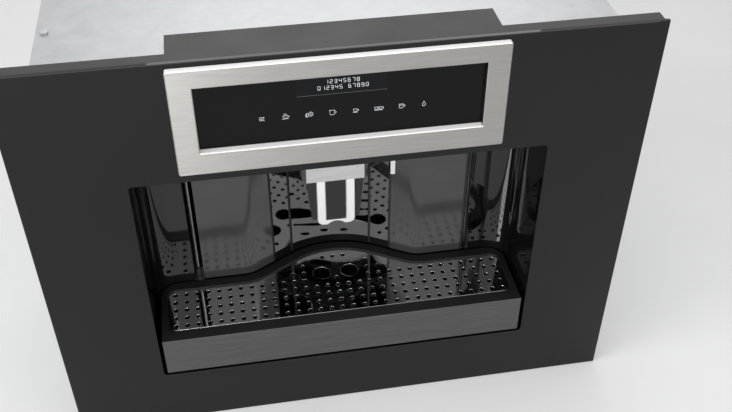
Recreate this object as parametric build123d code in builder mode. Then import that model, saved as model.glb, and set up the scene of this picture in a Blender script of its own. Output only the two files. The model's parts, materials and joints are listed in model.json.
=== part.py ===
"""Built-in coffee machine for a 60 cm wide, 45 cm high kitchen niche.

Every piece is its own solid. Lengths are in millimetres, Z is up and the front looks along -Y.
X = 0 is the middle of the width, Y = 0 the middle of the depth and Z = 0 the niche floor.
Depths are counted rearwards from the front of the fascia glass.
"""
from math import cos, hypot, radians, sin, tan
import os

from build123d import *

os.makedirs("parts", exist_ok=True)

# ---------------------------------------------------------------- shared walls and gaps
sheet = 1.5
moulded_wall = 2.5
running_gap = 0.05
slide_gap = 0.1
seat_gap = 0.3
cut_past = 1.0

# ---------------------------------------------------------------- fascia and control frame
fascia_width = 595.0
fascia_height = 455.0
fascia_depth = 20.0
glass_thickness = 4.0
glass_bevel = 0.6
carrier_inset = 2.0
carrier_wall = 3.0
carrier_flange = 40.0
carrier_rebate = 1.0
carrier_rib = 3.0
carrier_rib_pitch = 30.0
cabinet_edge = 17.5
head_overlap = 5.0
frame_proud = 6.0
frame_width = 302.0
frame_height = 109.0
frame_drop = 5.0
frame_corner = 2.5
frame_chamfer = 0.8
window_width = 259.4
window_height = 67.6
frame_sill = 23.0
skirt_wall = 4.0
display_setback = 7.0
display_gap = 0.2
lcd_width = 81.0
lcd_height = 20.3
lcd_drop = 1.1
board_thickness = 1.6
board_margin = 1.0
chip_size = 16.0
chip_pitch = 52.0
chip_height = 2.5
control_box_inset = 1.0
control_box_depth = 56.0

# ---------------------------------------------------------------- cup niche
fascia_side = 98.5
opening_bottom = 72.0
opening_head = 11.0
opening_corner = 4.0
liner_depth = 89.0
liner_corner = 25.0
wall_strip = 42.0
scoop_width = 19.5
scoop_height = 69.0
scoop_depth = 14.0
scoop_rise = 62.5
nozzle_x = 61.5
nozzle_depth = 70.0
nozzle_radius = 4.2
nozzle_bore = 1.6
nozzle_reach = 67.5
nut_radius = 7.0
nut_height = 3.0

# ---------------------------------------------------------------- drip tray
tray_side_gap = 4.0
tray_front_height = 48.0
tray_bottom_gap = 3.0
tray_panel = 1.5
tray_gap = 1.5
tray_corner = 20.0
tray_wall = 3.0
rim_side = 7.0
rim_front = 13.0
rim_rear = 11.5
rim_height = 6.0
runner_spread = 120.0
runner_half = 3.0
plate_thickness = 1.5
plate_drop = 2.0
plate_gap = 0.5
plate_corner = 10.0
hole_pitch = 12.0
row_pitch = 11.8
first_row = 22.5
hole_radius = 2.3
edge_margin = 6.0
bulge_margin = 7.0
finger_radius = 10.0
finger_spread = 16.0
finger_setback = 10.2
finger_margin = 7.0

# ---------------------------------------------------------------- service door
recess_radius = 94.0
recess_slope = 30.0
shoulder_radius = 30.0
shoulder_x = 101.7
door_skin = 1.5
door_body = 6.0
door_side_gap = 10.5
door_foot_gap = 1.5
door_head_gap = 6.0
door_rib = 3.0
door_rib_reach = 11.0
door_rib_side = 25.0
outer_seam = 67.5
outer_seam_width = 2.5
inner_seam = 46.5
inner_seam_width = 2.8
hinge_offset = 5.5
hinge_inset = 4.0
rod_radius = 2.2
knuckle_radius = 3.9
knuckle_height = 14.0
bracket_height = 3.6
bracket_reach = 4.6
bracket_length = 23.5
trim_radius = 1.9
catch_height = 22.0
catch_length = 15.0
catch_width = 11.5
catch_wall = 3.5
tongue_height = 8.0

# ---------------------------------------------------------------- spout
spout_front = 60.0
spout_half = 34.0
spout_drop = 34.0
spout_block_height = 29.5
spout_block_depth = 40.0
spout_chamfer = 4.0
spout_body_height = 53.5
spout_body_setback = 4.0
spout_taper = 4.7
spout_gap = 0.6
cover_half = 20.3
cover_height = 58.5
cover_leg = 9.9
cover_corner = 7.0
arch_height = 5.0
arch_half = 10.0
arch_web = 1.6
outlet_spread = 11.0
outlet_half = 4.5
outlet_bore = 2.5
outlet_depth = 78.0
carriage_half = 11.6
neck_reach = 10.0
slider_gap = 2.0
slider_side = 8.0
slider_plate = 3.0
slider_height = 40.0
slider_drop = 26.5
travel_up = 34.0
travel_down = 14.0

# ---------------------------------------------------------------- housing and rails
housing_depth = 372.0
housing_floor = 8.0
housing_head = 11.0
pan_lip = 14.0
rear_emboss = 2.0
emboss_spread = 150.0
emboss_half = 12.0
emboss_gap = 48.0
vent_pitch = 12.0
vent_height = 4.0
vent_length = 60.0
rear_vent_pitch = 14.0
rear_vent_height = 6.0
rear_vent_half = 50.0
floor_vent_pitch = 44.0
floor_vent_length = 28.0
screw_radius = 4.0
screw_height = 1.8
screw_inset = 8.0
screw_front_gap = 30.0
rail_space = 16.0
rail_height = 45.0
rail_foot = 10.0
rail_sheet = 1.2
rail_play = 0.3
rail_setback = 4.0
rail_rear_gap = 8.0
lip_reach = 12.7
foot_width = 22.0
foot_screw_radius = 2.6
foot_screw_pitch = 280.0

# ---------------------------------------------------------------- service bay and brewing
bay_sill_gap = 7.5
bay_depth = 164.0
bay_sink = 18.0
bay_roof_gap = 27.5
bay_step_gap = 14.0
bay_flange = 18.0
shelf_height = 64.5
shelf_depth = 100.0
grounds_height = 56.5
grounds_half = 110.0
grounds_wall = 2.0
grounds_gap = 3.5
grounds_rear_gap = 7.5
grounds_corner = 6.0
grip_half = 40.0
grip_height = 10.0
infuser_front_gap = 99.0
infuser_half = 48.0
infuser_rear = 50.0
infuser_plate = 14.0
cylinder_half = 32.0
cylinder_gap = 18.0
cylinder_floor = 2.0
piston_radius = 25.9
piston_height = 16.0
piston_rod_half = 8.05
rod_reach = 20.0
column_width = 12.0
column_half = 12.0
head_height = 14.0
head_half = 16.0
head_gap = 10.5
drive_width = 45.5
drive_size = 70.0
drive_rise = 43.0
drive_motor_radius = 18.0
drive_motor_length = 62.0
drive_shaft_radius = 5.1

# ---------------------------------------------------------------- grinder, hopper and powder chute
burr_x = -40.0
burr_setback = 10.0
grinder_height = 50.5
grinder_radius = 36.0
grinder_wall = 6.0
gear_reach = 106.0
gear_half = 26.0
gear_height = 12.0
duct_half = 13.0
duct_height = 18.0
duct_wall = 3.0
motor_offset = 80.0
motor_radius = 22.0
motor_height = 60.0
motor_cap = 4.0
burr_shaft_radius = 4.0
burr_flange_radius = 24.0
burr_cone_radius = 18.0
burr_cone_height = 20.0
burr_taper = 22.0
upper_burr_bore = 20.0
upper_burr_height = 19.5
yoke_height = 3.5
yoke_half = 3.0
knob_radius = 16.0
knob_height = 16.0
knob_drop = 29.0
knob_shaft = 8.0
pointer_height = 1.5
hopper_left_reach = 55.0
hopper_right_reach = 70.0
hopper_front_reach = 75.0
hopper_rear_reach = 95.0
funnel_width = 66.0
funnel_height = 30.0
lid_thickness = 3.0
lid_gap = 0.5
lid_grip = 2.5
pin_radius = 1.6
pin_rise = 3.5
hinge_setback = 4.0
hinge_edge = 5.0
lug_half = 12.0
lug_front = 3.0
lug_rear = 6.0
lug_rise = 3.4
ear_width = 6.0
ear_rear = 2.5
ear_gap = 0.7
chute_offset = 100.0
chute_width = 38.0
chute_front_reach = 20.0
chute_rear_reach = 35.0
chute_wall = 2.0
chute_collar = 61.0
chute_spigot = 12.0

# ---------------------------------------------------------------- water, heating and power
tank_width = 78.0
tank_front = 160.0
tank_height = 146.0
tank_side_gap = 8.5
tank_rear_gap = 38.5
tank_corner = 8.0
cradle_floor = 8.0
cradle_wall = 4.0
cradle_lip = 6.0
cradle_gap = 0.5
cradle_rib_height = 14.0
cradle_rib_spread = 110.0
drain_radius = 6.0
tank_lid_height = 6.0
recess_width = 46.0
recess_length = 96.0
recess_wall = 2.0
recess_drop = 5.0
lid_bar = 10.0
block_width = 58.0
block_length = 90.0
block_height = 36.0
block_foot = 8.0
block_base = 6.0
block_rear_gap = 58.5
fin_pitch = 13.0
fin_width = 4.0
fin_height = 10.0
port_width = 8.0
port_reach = 12.0
port_spread = 60.0
pump_centre = 155.0
pump_radius = 17.0
pump_length = 88.0
pump_axis = 26.0
pump_mount = 36.0
pump_base = 44.0
pump_foot = 4.0
pump_spout = 10.0
power_board_front = 64.0
power_board_foot = 64.0
power_board_size = 132.0
power_board_gap = 8.0
stud_inset = 9.0
stud_size = 6.0
supply_size = 40.0
supply_inset = 12.0
supply_height = 27.0
relay_size = 14.0
relay_start = 56.0
relay_rise = 86.0
relay_pitch = 22.0
relay_height = 16.0
can_radius = 9.0
can_start = 72.0
can_rise = 32.0
can_pitch = 25.0
can_height = 23.0
inlet_offset = 53.5
inlet_height = 43.0
inlet_width = 30.0
inlet_tall = 26.0
inlet_depth = 14.0
inlet_flange = 5.0
inlet_wall = 3.5
blade_pitch = 7.0
switch_setback = 36.5
switch_drop = 65.0
switch_depth = 25.6
switch_height = 19.6
switch_reach = 16.0
switch_flange = 4.2
switch_wall = 3.0
rocker_recess = 3.0
rocker_axle = 1.5
rocker_half = 8.7
rocker_lift = 7.2
rocker_tip = 5.5

# ---------------------------------------------------------------- derived positions
overall_depth = frame_proud + fascia_depth + housing_depth
glass_y = -overall_depth / 2 + frame_proud
niche_half = fascia_width / 2 - cabinet_edge
niche_height = fascia_height - head_overlap
housing_half = niche_half - rail_space
inner_half = housing_half - sheet
housing_top = fascia_height - housing_head
housing_front = fascia_depth - carrier_rebate
housing_rear = fascia_depth + housing_depth
rear_sheet_front = housing_rear - rear_emboss - sheet
pan_top = housing_floor + sheet

frame_bottom = fascia_height - frame_drop - frame_height
window_bottom = frame_bottom + frame_sill
frame_middle = frame_bottom + frame_height / 2
window_middle = window_bottom + window_height / 2
lcd_middle = window_bottom + window_height - lcd_drop - lcd_height / 2

opening_half = fascia_width / 2 - fascia_side
opening_top = frame_bottom - opening_head
opening_height = opening_top - opening_bottom
opening_middle = (opening_top + opening_bottom) / 2
liner_back = liner_depth + moulded_wall
bay_half = opening_half - wall_strip
rim_top = opening_bottom + tray_bottom_gap + tray_front_height
tray_foot = opening_bottom + tray_bottom_gap + 0.5
ledge_top = rim_top - plate_drop - plate_thickness
scoop_middle = rim_top + scoop_rise
nozzle_tip = opening_top - nozzle_reach

door_half = bay_half - door_side_gap
door_foot = rim_top + door_foot_gap
door_top = opening_top - door_head_gap
door_height = door_top - door_foot
hinge_x = -door_half - hinge_offset
hinge_depth = liner_depth + hinge_inset
guide_half = inner_seam - inner_seam_width

spout_top = opening_top - spout_drop
spout_split = spout_top - spout_block_height
spout_foot = spout_split - spout_body_height
cover_foot = spout_split - cover_height
slider_foot = spout_split - slider_drop
slider_top = slider_foot + slider_height
slot_bottom = slider_foot - travel_down
slot_top = slider_top + travel_up

# Centre of the concave recess: both arcs are tangent to the slope between them.
slope_end_x = shoulder_x - shoulder_radius * sin(radians(recess_slope))
slope_end = liner_depth + shoulder_radius * (1 - cos(radians(recess_slope)))
slope_start_x = recess_radius * sin(radians(recess_slope))
recess_centre = (slope_end + tan(radians(recess_slope)) * (slope_end_x - slope_start_x)
                 - recess_radius * cos(radians(recess_slope)))
bulge_depth = recess_centre + recess_radius
past_bulge = bulge_depth + door_skin + door_body + 2 * slider_plate

bay_sill = bulge_depth + bay_sill_gap
bay_rear = bay_sill + bay_depth
bay_floor = rim_top - bay_sink
bay_roof = opening_top - bay_roof_gap
bay_step = bay_sill + bay_step_gap
shelf_bottom = bay_floor + shelf_height
shelf_top = shelf_bottom + moulded_wall
infuser_depth = bay_sill + infuser_front_gap
infuser_front = infuser_depth - cylinder_half - 1.0
column_top = bay_roof - head_gap
cylinder_top = column_top - head_height - cylinder_gap
drive_depth = infuser_depth
drive_z = shelf_top + drive_rise

burr_depth = infuser_depth - burr_setback
hopper_foot = bay_roof + grinder_height
funnel_top = hopper_foot + funnel_height
lid_bottom = housing_top - lid_thickness
pin_height = lid_bottom + pin_rise
hopper_left = burr_x - hopper_left_reach
hopper_right = burr_x + hopper_right_reach
hopper_front = burr_depth - hopper_front_reach
hopper_rear = burr_depth + hopper_rear_reach
knob_foot = lid_bottom - knob_drop
chute_left = burr_x + chute_offset
chute_right = chute_left + chute_width
chute_front = burr_depth - chute_front_reach
chute_rear = burr_depth + chute_rear_reach

tank_right = inner_half - tank_side_gap
tank_left = tank_right - tank_width
tank_middle = (tank_left + tank_right) / 2
tank_rear = rear_sheet_front - tank_rear_gap
tank_centre = (tank_front + tank_rear) / 2
tank_length = tank_rear - tank_front
tank_top = lid_bottom - lid_thickness
tank_foot = tank_top - tank_height
board_x = -inner_half + power_board_gap
inlet_x = -inner_half + inlet_offset
switch_centre = bulge_depth + switch_setback
switch_z = opening_top - switch_drop
rocker_x = bay_half + rocker_recess

rail_front = fascia_depth + rail_setback
rail_rear = housing_rear - rail_rear_gap
rail_middle = (rail_front + rail_rear) / 2
rail_top = rail_foot + rail_height
rail_step = rail_sheet + rail_play
rail_lip = niche_half - lip_reach


def plan(z):
    """Level plane; its second axis is the depth behind the glass."""
    return Plane(origin=(0, glass_y, z), x_dir=(1, 0, 0), z_dir=(0, 0, 1))


def face(depth):
    """Upright plane that looks forwards; its second axis is the height."""
    return Plane(origin=(0, glass_y + depth, 0), x_dir=(1, 0, 0), z_dir=(0, -1, 0))


def side(x):
    """Upright plane that looks to +X; its axes are the depth behind the glass and the height."""
    return Plane(origin=(x, glass_y, 0), x_dir=(0, 1, 0), z_dir=(1, 0, 0))


def box(x0, x1, depth0, depth1, z0, z1, mode=Mode.ADD):
    """Upright block between two corners."""
    with BuildSketch(plan(z0)) as footprint:
        with Locations(((x0 + x1) / 2, (depth0 + depth1) / 2)):
            Rectangle(x1 - x0, depth1 - depth0)
    extrude(footprint.sketch, amount=z1 - z0, mode=mode)


def post(x, depth, z0, z1, radius, mode=Mode.ADD):
    """Upright round bar or hole."""
    with BuildSketch(plan(z0)) as footprint:
        with Locations((x, depth)):
            Circle(radius)
    extrude(footprint.sketch, amount=z1 - z0, mode=mode)


def crossbar(x0, x1, depth, z, radius, mode=Mode.ADD):
    """Round bar or hole along X."""
    with BuildSketch(side(x0)) as end_face:
        with Locations((depth, z)):
            Circle(radius)
    extrude(end_face.sketch, amount=x1 - x0, mode=mode)


def prism(x, depth, z0, z1, radius, corners, taper=0, mode=Mode.ADD):
    """Upright bar or hole with a regular outline."""
    with BuildSketch(plan(z0)) as footprint:
        with Locations((x, depth)):
            RegularPolygon(radius, corners)
    extrude(footprint.sketch, amount=z1 - z0, taper=taper, mode=mode)


def flat_bar(x0, x1, depth, z, radius, corners=6, mode=Mode.ADD):
    """Bar or hole along X with a regular outline."""
    with BuildSketch(side(x0)) as end_face:
        with Locations((depth, z)):
            RegularPolygon(radius, corners)
    extrude(end_face.sketch, amount=x1 - x0, mode=mode)


def recess_point(back, degrees):
    radius = recess_radius + back
    return (radius * sin(radians(degrees)), recess_centre + radius * cos(radians(degrees)))


def shoulder_point(back, degrees):
    radius = shoulder_radius - back
    return (shoulder_x - radius * sin(radians(degrees)),
            liner_depth + shoulder_radius - radius * cos(radians(degrees)))


def door_curve(back):
    """Right half of the door's plan curve, moved straight back by its thickness."""
    ThreePointArc(recess_point(back, 0), recess_point(back, recess_slope / 2),
                  recess_point(back, recess_slope))
    Line(recess_point(back, recess_slope), shoulder_point(back, recess_slope))
    ThreePointArc(shoulder_point(back, recess_slope), shoulder_point(back, recess_slope / 2),
                  shoulder_point(back, 0))


def band(near, far):
    """Plan of a skin that follows the door's curve from side to side."""
    with BuildSketch() as plan_shape:
        with BuildLine():
            door_curve(near)
            Line(shoulder_point(near, 0), (door_half, liner_depth + near))
            Line((door_half, liner_depth + near), (door_half, liner_depth + far))
            Line((door_half, liner_depth + far), shoulder_point(far, 0))
            door_curve(far)
            Line(recess_point(far, 0), recess_point(near, 0))
        make_face()
        mirror(about=Plane.YZ)
    return plan_shape.sketch


def strip(near, far, x0, x1):
    """The part of such a skin between two widths."""
    with BuildSketch() as plan_shape:
        add(band(near, far))
        with Locations(((x0 + x1) / 2, bulge_depth)):
            Rectangle(x1 - x0, 2 * bulge_depth, mode=Mode.INTERSECT)
    return plan_shape.sketch


def alcove(back, front=spout_front):
    """Plan of the bulge behind the niche, out to the door's curve."""
    with BuildSketch() as plan_shape:
        with BuildLine():
            door_curve(back)
            Line(shoulder_point(back, 0), (shoulder_x, front))
            Line((shoulder_x, front), (0, front))
            Line((0, front), recess_point(back, 0))
        make_face()
        mirror(about=Plane.YZ)
    return plan_shape.sketch


def bay_plan(half, front, rear, corner, back):
    """Rectangle with round rear corners, joined to the bulge."""
    with BuildSketch() as plan_shape:
        with Locations((0, (front + rear) / 2)):
            Rectangle(2 * half, rear - front)
        fillet(plan_shape.vertices().group_by(Axis.Y)[-1], corner)
        add(alcove(back))
    return plan_shape.sketch


# ================================================================ fascia
with BuildPart() as fascia_glass:
    with BuildSketch(face(0)):
        with Locations((0, fascia_height / 2)):
            Rectangle(fascia_width, fascia_height)
        with Locations((0, opening_middle)):
            RectangleRounded(2 * opening_half, opening_height, opening_corner, mode=Mode.SUBTRACT)
        with Locations((0, window_middle)):
            Rectangle(window_width + 2 * skirt_wall + 2 * display_gap,
                      window_height + 2 * skirt_wall + 2 * display_gap, mode=Mode.SUBTRACT)
    extrude(amount=-glass_thickness)
    chamfer(fascia_glass.faces().sort_by(Axis.Y)[0].outer_wire().edges(), glass_bevel)
fascia_glass.part.label = "fascia_glass"
export_step(fascia_glass.part, "parts/fascia_glass.step")

with BuildPart() as control_frame:
    with BuildSketch(face(-frame_proud)):
        with Locations((0, frame_middle)):
            RectangleRounded(frame_width, frame_height, frame_corner)
    extrude(amount=-frame_proud)
    chamfer(control_frame.faces().sort_by(Axis.Y)[0].edges(), frame_chamfer)
    with BuildSketch(face(0)):
        with Locations((0, window_middle)):
            Rectangle(window_width + 2 * skirt_wall, window_height + 2 * skirt_wall)
    extrude(amount=-glass_thickness)
    with BuildSketch(face(-frame_proud)):
        with Locations((0, window_middle)):
            Rectangle(window_width, window_height)
    extrude(amount=-(frame_proud + glass_thickness), mode=Mode.SUBTRACT)
    chamfer(control_frame.faces().sort_by(Axis.Y)[0].inner_wires()[0].edges(), frame_chamfer)
control_frame.part.label = "control_frame"
export_step(control_frame.part, "parts/control_frame.step")

with BuildPart() as display_glass:
    with BuildSketch(face(display_setback - frame_proud)):
        with Locations((0, window_middle)):
            Rectangle(window_width - 2 * display_gap, window_height - 2 * display_gap)
    extrude(amount=-(glass_thickness + frame_proud - display_setback))
display_glass.part.label = "display_glass"
export_step(display_glass.part, "parts/display_glass.step")

# The control box stands behind the frame; the touch board with its display sits in its front.
box_half = frame_width / 2 - control_box_inset
box_bottom = frame_bottom + control_box_inset
box_top = frame_bottom + frame_height - control_box_inset
box_rear = glass_thickness + control_box_depth
with BuildPart() as control_box:
    box(-box_half, box_half, glass_thickness, box_rear, box_bottom, box_top)
    box(-box_half + moulded_wall, box_half - moulded_wall, glass_thickness + moulded_wall, box_rear,
        box_bottom + moulded_wall, box_top - moulded_wall, Mode.SUBTRACT)
    with BuildSketch(face(glass_thickness)):
        with Locations((0, lcd_middle)):
            Rectangle(lcd_width + 2 * display_gap, lcd_height + 2 * display_gap)
    extrude(amount=-moulded_wall, mode=Mode.SUBTRACT)
control_box.part.label = "control_box"
export_step(control_box.part, "parts/control_box.step")

board_front = glass_thickness + moulded_wall
with BuildPart() as touch_board:
    with BuildSketch(face(board_front)):
        with Locations((0, window_middle)):
            Rectangle(window_width - 2 * board_margin, window_height - 2 * board_margin)
    extrude(amount=-board_thickness)
    with BuildSketch(face(glass_thickness)):
        with Locations((0, lcd_middle)):
            Rectangle(lcd_width, lcd_height)
    extrude(amount=-moulded_wall)
    with BuildSketch(face(board_front + board_thickness)):
        with Locations((0, window_middle)):
            with GridLocations(chip_pitch, 0, 4, 1):
                Rectangle(chip_size, chip_size)
    extrude(amount=-chip_height)
touch_board.part.label = "touch_board"
export_step(touch_board.part, "parts/touch_board.step")

carrier_half = fascia_width / 2 - carrier_inset
carrier_height = fascia_height - 2 * carrier_inset
with BuildPart() as fascia_carrier:
    with BuildSketch(face(glass_thickness)):
        with Locations((0, fascia_height / 2)):
            Rectangle(2 * carrier_half, carrier_height)
    extrude(amount=-(fascia_depth - glass_thickness))
    with BuildSketch(face(glass_thickness + carrier_wall)):
        with Locations((0, fascia_height / 2)):
            Rectangle(2 * (carrier_half - carrier_wall), carrier_height - 2 * carrier_wall)
    extrude(amount=-(fascia_depth - glass_thickness - 2 * carrier_wall), mode=Mode.SUBTRACT)
    with BuildSketch(face(fascia_depth - carrier_wall)):
        with Locations((0, fascia_height / 2)):
            Rectangle(2 * (carrier_half - carrier_flange), carrier_height - carrier_flange)
    extrude(amount=-carrier_wall, mode=Mode.SUBTRACT)
    inner_rib = opening_half + (fascia_side - carrier_rib_pitch) / 2
    for rib_x in (-inner_rib - carrier_rib_pitch, -inner_rib, inner_rib, inner_rib + carrier_rib_pitch):
        box(rib_x - carrier_rib / 2, rib_x + carrier_rib / 2, glass_thickness + cut_past,
            fascia_depth - carrier_wall, carrier_inset + cut_past,
            fascia_height - carrier_inset - cut_past)
    # Rebate that clears the niche mouth: the housing seats in it, the cabinet meets the rim.
    box(-niche_half - 0.5, niche_half + 0.5, fascia_depth - carrier_rebate, fascia_depth, 0,
        niche_height + 0.5, Mode.SUBTRACT)
    box(-opening_half - moulded_wall - slide_gap, opening_half + moulded_wall + slide_gap,
        glass_thickness, fascia_depth, opening_bottom - moulded_wall - slide_gap,
        opening_top + moulded_wall + slide_gap, Mode.SUBTRACT)
    box(-box_half - slide_gap, box_half + slide_gap, glass_thickness, fascia_depth,
        box_bottom - slide_gap, box_top + slide_gap, Mode.SUBTRACT)
fascia_carrier.part.label = "fascia_carrier"
export_step(fascia_carrier.part, "parts/fascia_carrier.step")

# ================================================================ cup niche
bracket_foot = rim_top - bracket_height
bracket_head = door_top + door_foot_gap
bracket_side = hinge_x + bracket_reach
with BuildPart() as niche_liner:
    with BuildSketch(plan(opening_bottom - moulded_wall)):
        with Locations((0, (glass_thickness + liner_back) / 2)):
            outer = Rectangle(2 * (opening_half + moulded_wall), liner_back - glass_thickness)
        fillet(outer.vertices().group_by(Axis.Y)[-1], liner_corner + moulded_wall)
    extrude(amount=opening_height + 2 * moulded_wall)
    with BuildSketch(plan(opening_bottom - moulded_wall)):
        add(alcove(moulded_wall))
    extrude(amount=rim_top - opening_bottom + moulded_wall)
    with BuildSketch(face(liner_depth)):
        with Locations((bay_half, scoop_middle)):
            Ellipse(scoop_width + moulded_wall, scoop_height / 2 + moulded_wall)
        with Locations((bay_half - scoop_height, scoop_middle)):
            Rectangle(2 * scoop_height, 2 * scoop_height, mode=Mode.SUBTRACT)
    extrude(amount=-(scoop_depth + moulded_wall))
    with BuildSketch(plan(opening_bottom)):
        inner = Rectangle(2 * opening_half, 2 * liner_depth)
        fillet(inner.vertices().group_by(Axis.Y)[-1], liner_corner)
    extrude(amount=opening_height, mode=Mode.SUBTRACT)
    with BuildSketch(plan(opening_bottom)):
        add(alcove(0))
    extrude(amount=rim_top - opening_bottom + cut_past, mode=Mode.SUBTRACT)
    box(-bay_half, bay_half, liner_depth - cut_past, liner_back + cut_past, rim_top, opening_top,
        Mode.SUBTRACT)
    with BuildSketch(face(liner_depth - cut_past)):
        with Locations((bay_half, scoop_middle)):
            Ellipse(scoop_width, scoop_height / 2)
        with Locations((bay_half - scoop_height - cut_past, scoop_middle)):
            Rectangle(2 * scoop_height, 2 * scoop_height, mode=Mode.SUBTRACT)
    extrude(amount=-(scoop_depth + cut_past), mode=Mode.SUBTRACT)
    post(nozzle_x, nozzle_depth, opening_top - cut_past, opening_top + moulded_wall + cut_past,
         nozzle_radius + slide_gap, Mode.SUBTRACT)
    box(-bay_half - slide_gap, bracket_side + seat_gap, liner_depth - cut_past, liner_back + cut_past,
        bracket_foot - slide_gap, rim_top + cut_past, Mode.SUBTRACT)
    for runner_x in (-runner_spread, runner_spread):
        box(runner_x - runner_half, runner_x + runner_half, fascia_depth, liner_depth - moulded_wall,
            opening_bottom - cut_past, tray_foot - slide_gap)
niche_liner.part.label = "niche_liner"
export_step(niche_liner.part, "parts/niche_liner.step")

with BuildPart() as hot_water_nozzle:
    post(nozzle_x, nozzle_depth, nozzle_tip, opening_top + moulded_wall + cut_past, nozzle_radius)
    for nut_foot in (opening_top - nut_height, opening_top + moulded_wall):
        prism(nozzle_x, nozzle_depth, nut_foot, nut_foot + nut_height, nut_radius, 6)
    prism(nozzle_x, nozzle_depth, nozzle_tip, nozzle_tip + nozzle_reach / 2, nozzle_bore, 8,
          mode=Mode.SUBTRACT)
hot_water_nozzle.part.label = "hot_water_nozzle"
export_step(hot_water_nozzle.part, "parts/hot_water_nozzle.step")

# ================================================================ drip tray
tray_half = opening_half - tray_side_gap
rim_back = liner_depth - tray_gap
plate_half = tray_half - rim_side
plate_front = tray_panel + rim_front
plate_rear = rim_back - rim_rear
plate_setback = tray_gap + rim_rear
with BuildPart() as tray_front:
    box(-tray_half, tray_half, 0, tray_panel, rim_top - tray_front_height, rim_top)
    chamfer(tray_front.faces().sort_by(Axis.Y)[0].edges(), 0.4)
tray_front.part.label = "tray_front"
export_step(tray_front.part, "parts/tray_front.step")

with BuildPart() as tray_basin:
    with BuildSketch(plan(rim_top - rim_height)):
        add(bay_plan(tray_half, tray_panel, rim_back, tray_corner, -tray_gap))
    extrude(amount=rim_height)
    with BuildSketch(plan(tray_foot)):
        add(bay_plan(plate_half, plate_front, plate_rear + tray_wall, plate_corner,
                     tray_wall - plate_setback))
    extrude(amount=rim_top - rim_height - tray_foot)
    box(-plate_half, plate_half, tray_panel, tray_panel + tray_wall,
        rim_top - tray_front_height + tray_wall, rim_top - rim_height)
    for rib_x in (-plate_half / 2, plate_half / 2):
        box(rib_x - tray_wall / 2, rib_x + tray_wall / 2, tray_panel + cut_past,
            plate_front + cut_past, tray_foot + tray_wall, rim_top - rim_height)
    with BuildSketch(plan(ledge_top)):
        add(bay_plan(plate_half + plate_gap, plate_front, plate_rear + plate_gap,
                     plate_corner + plate_gap, plate_gap - plate_setback))
    extrude(amount=rim_top - ledge_top, mode=Mode.SUBTRACT)
    with BuildSketch(plan(tray_foot + tray_wall)):
        add(bay_plan(plate_half - tray_wall, plate_front + tray_wall, plate_rear - tray_wall,
                     plate_corner - tray_wall, -tray_wall - plate_setback))
    extrude(amount=rim_top - tray_foot, mode=Mode.SUBTRACT)
tray_basin.part.label = "tray_basin"
export_step(tray_basin.part, "parts/tray_basin.step")


def on_plate(x, depth):
    """True where a drain hole keeps its margins to the plate's edge and to both finger holes."""
    on_flat = (abs(x) < plate_half - edge_margin and depth < plate_rear - edge_margin)
    in_bulge = hypot(x, depth - recess_centre) < recess_radius - plate_setback - bulge_margin
    to_finger = hypot(abs(x) - finger_spread, depth - finger_depth)
    return (on_flat or in_bulge) and to_finger > finger_radius + finger_margin


finger_depth = liner_depth - finger_setback
columns = range(-int(plate_half / hole_pitch), int(plate_half / hole_pitch) + 1)
rows = range(int((bulge_depth - first_row) / row_pitch) + 1)
hole_places = [(column * hole_pitch, first_row + row * row_pitch) for row in rows
               for column in columns if on_plate(column * hole_pitch, first_row + row * row_pitch)]
with BuildPart() as cup_plate:
    with BuildSketch(plan(ledge_top)):
        add(bay_plan(plate_half, plate_front + plate_gap, plate_rear, plate_corner, -plate_setback))
        with Locations(*hole_places):
            RegularPolygon(hole_radius, 4, mode=Mode.SUBTRACT)
        with Locations((-finger_spread, finger_depth), (finger_spread, finger_depth)):
            Circle(finger_radius, mode=Mode.SUBTRACT)
    extrude(amount=plate_thickness)
cup_plate.part.label = "cup_plate"
export_step(cup_plate.part, "parts/cup_plate.step")

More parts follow.
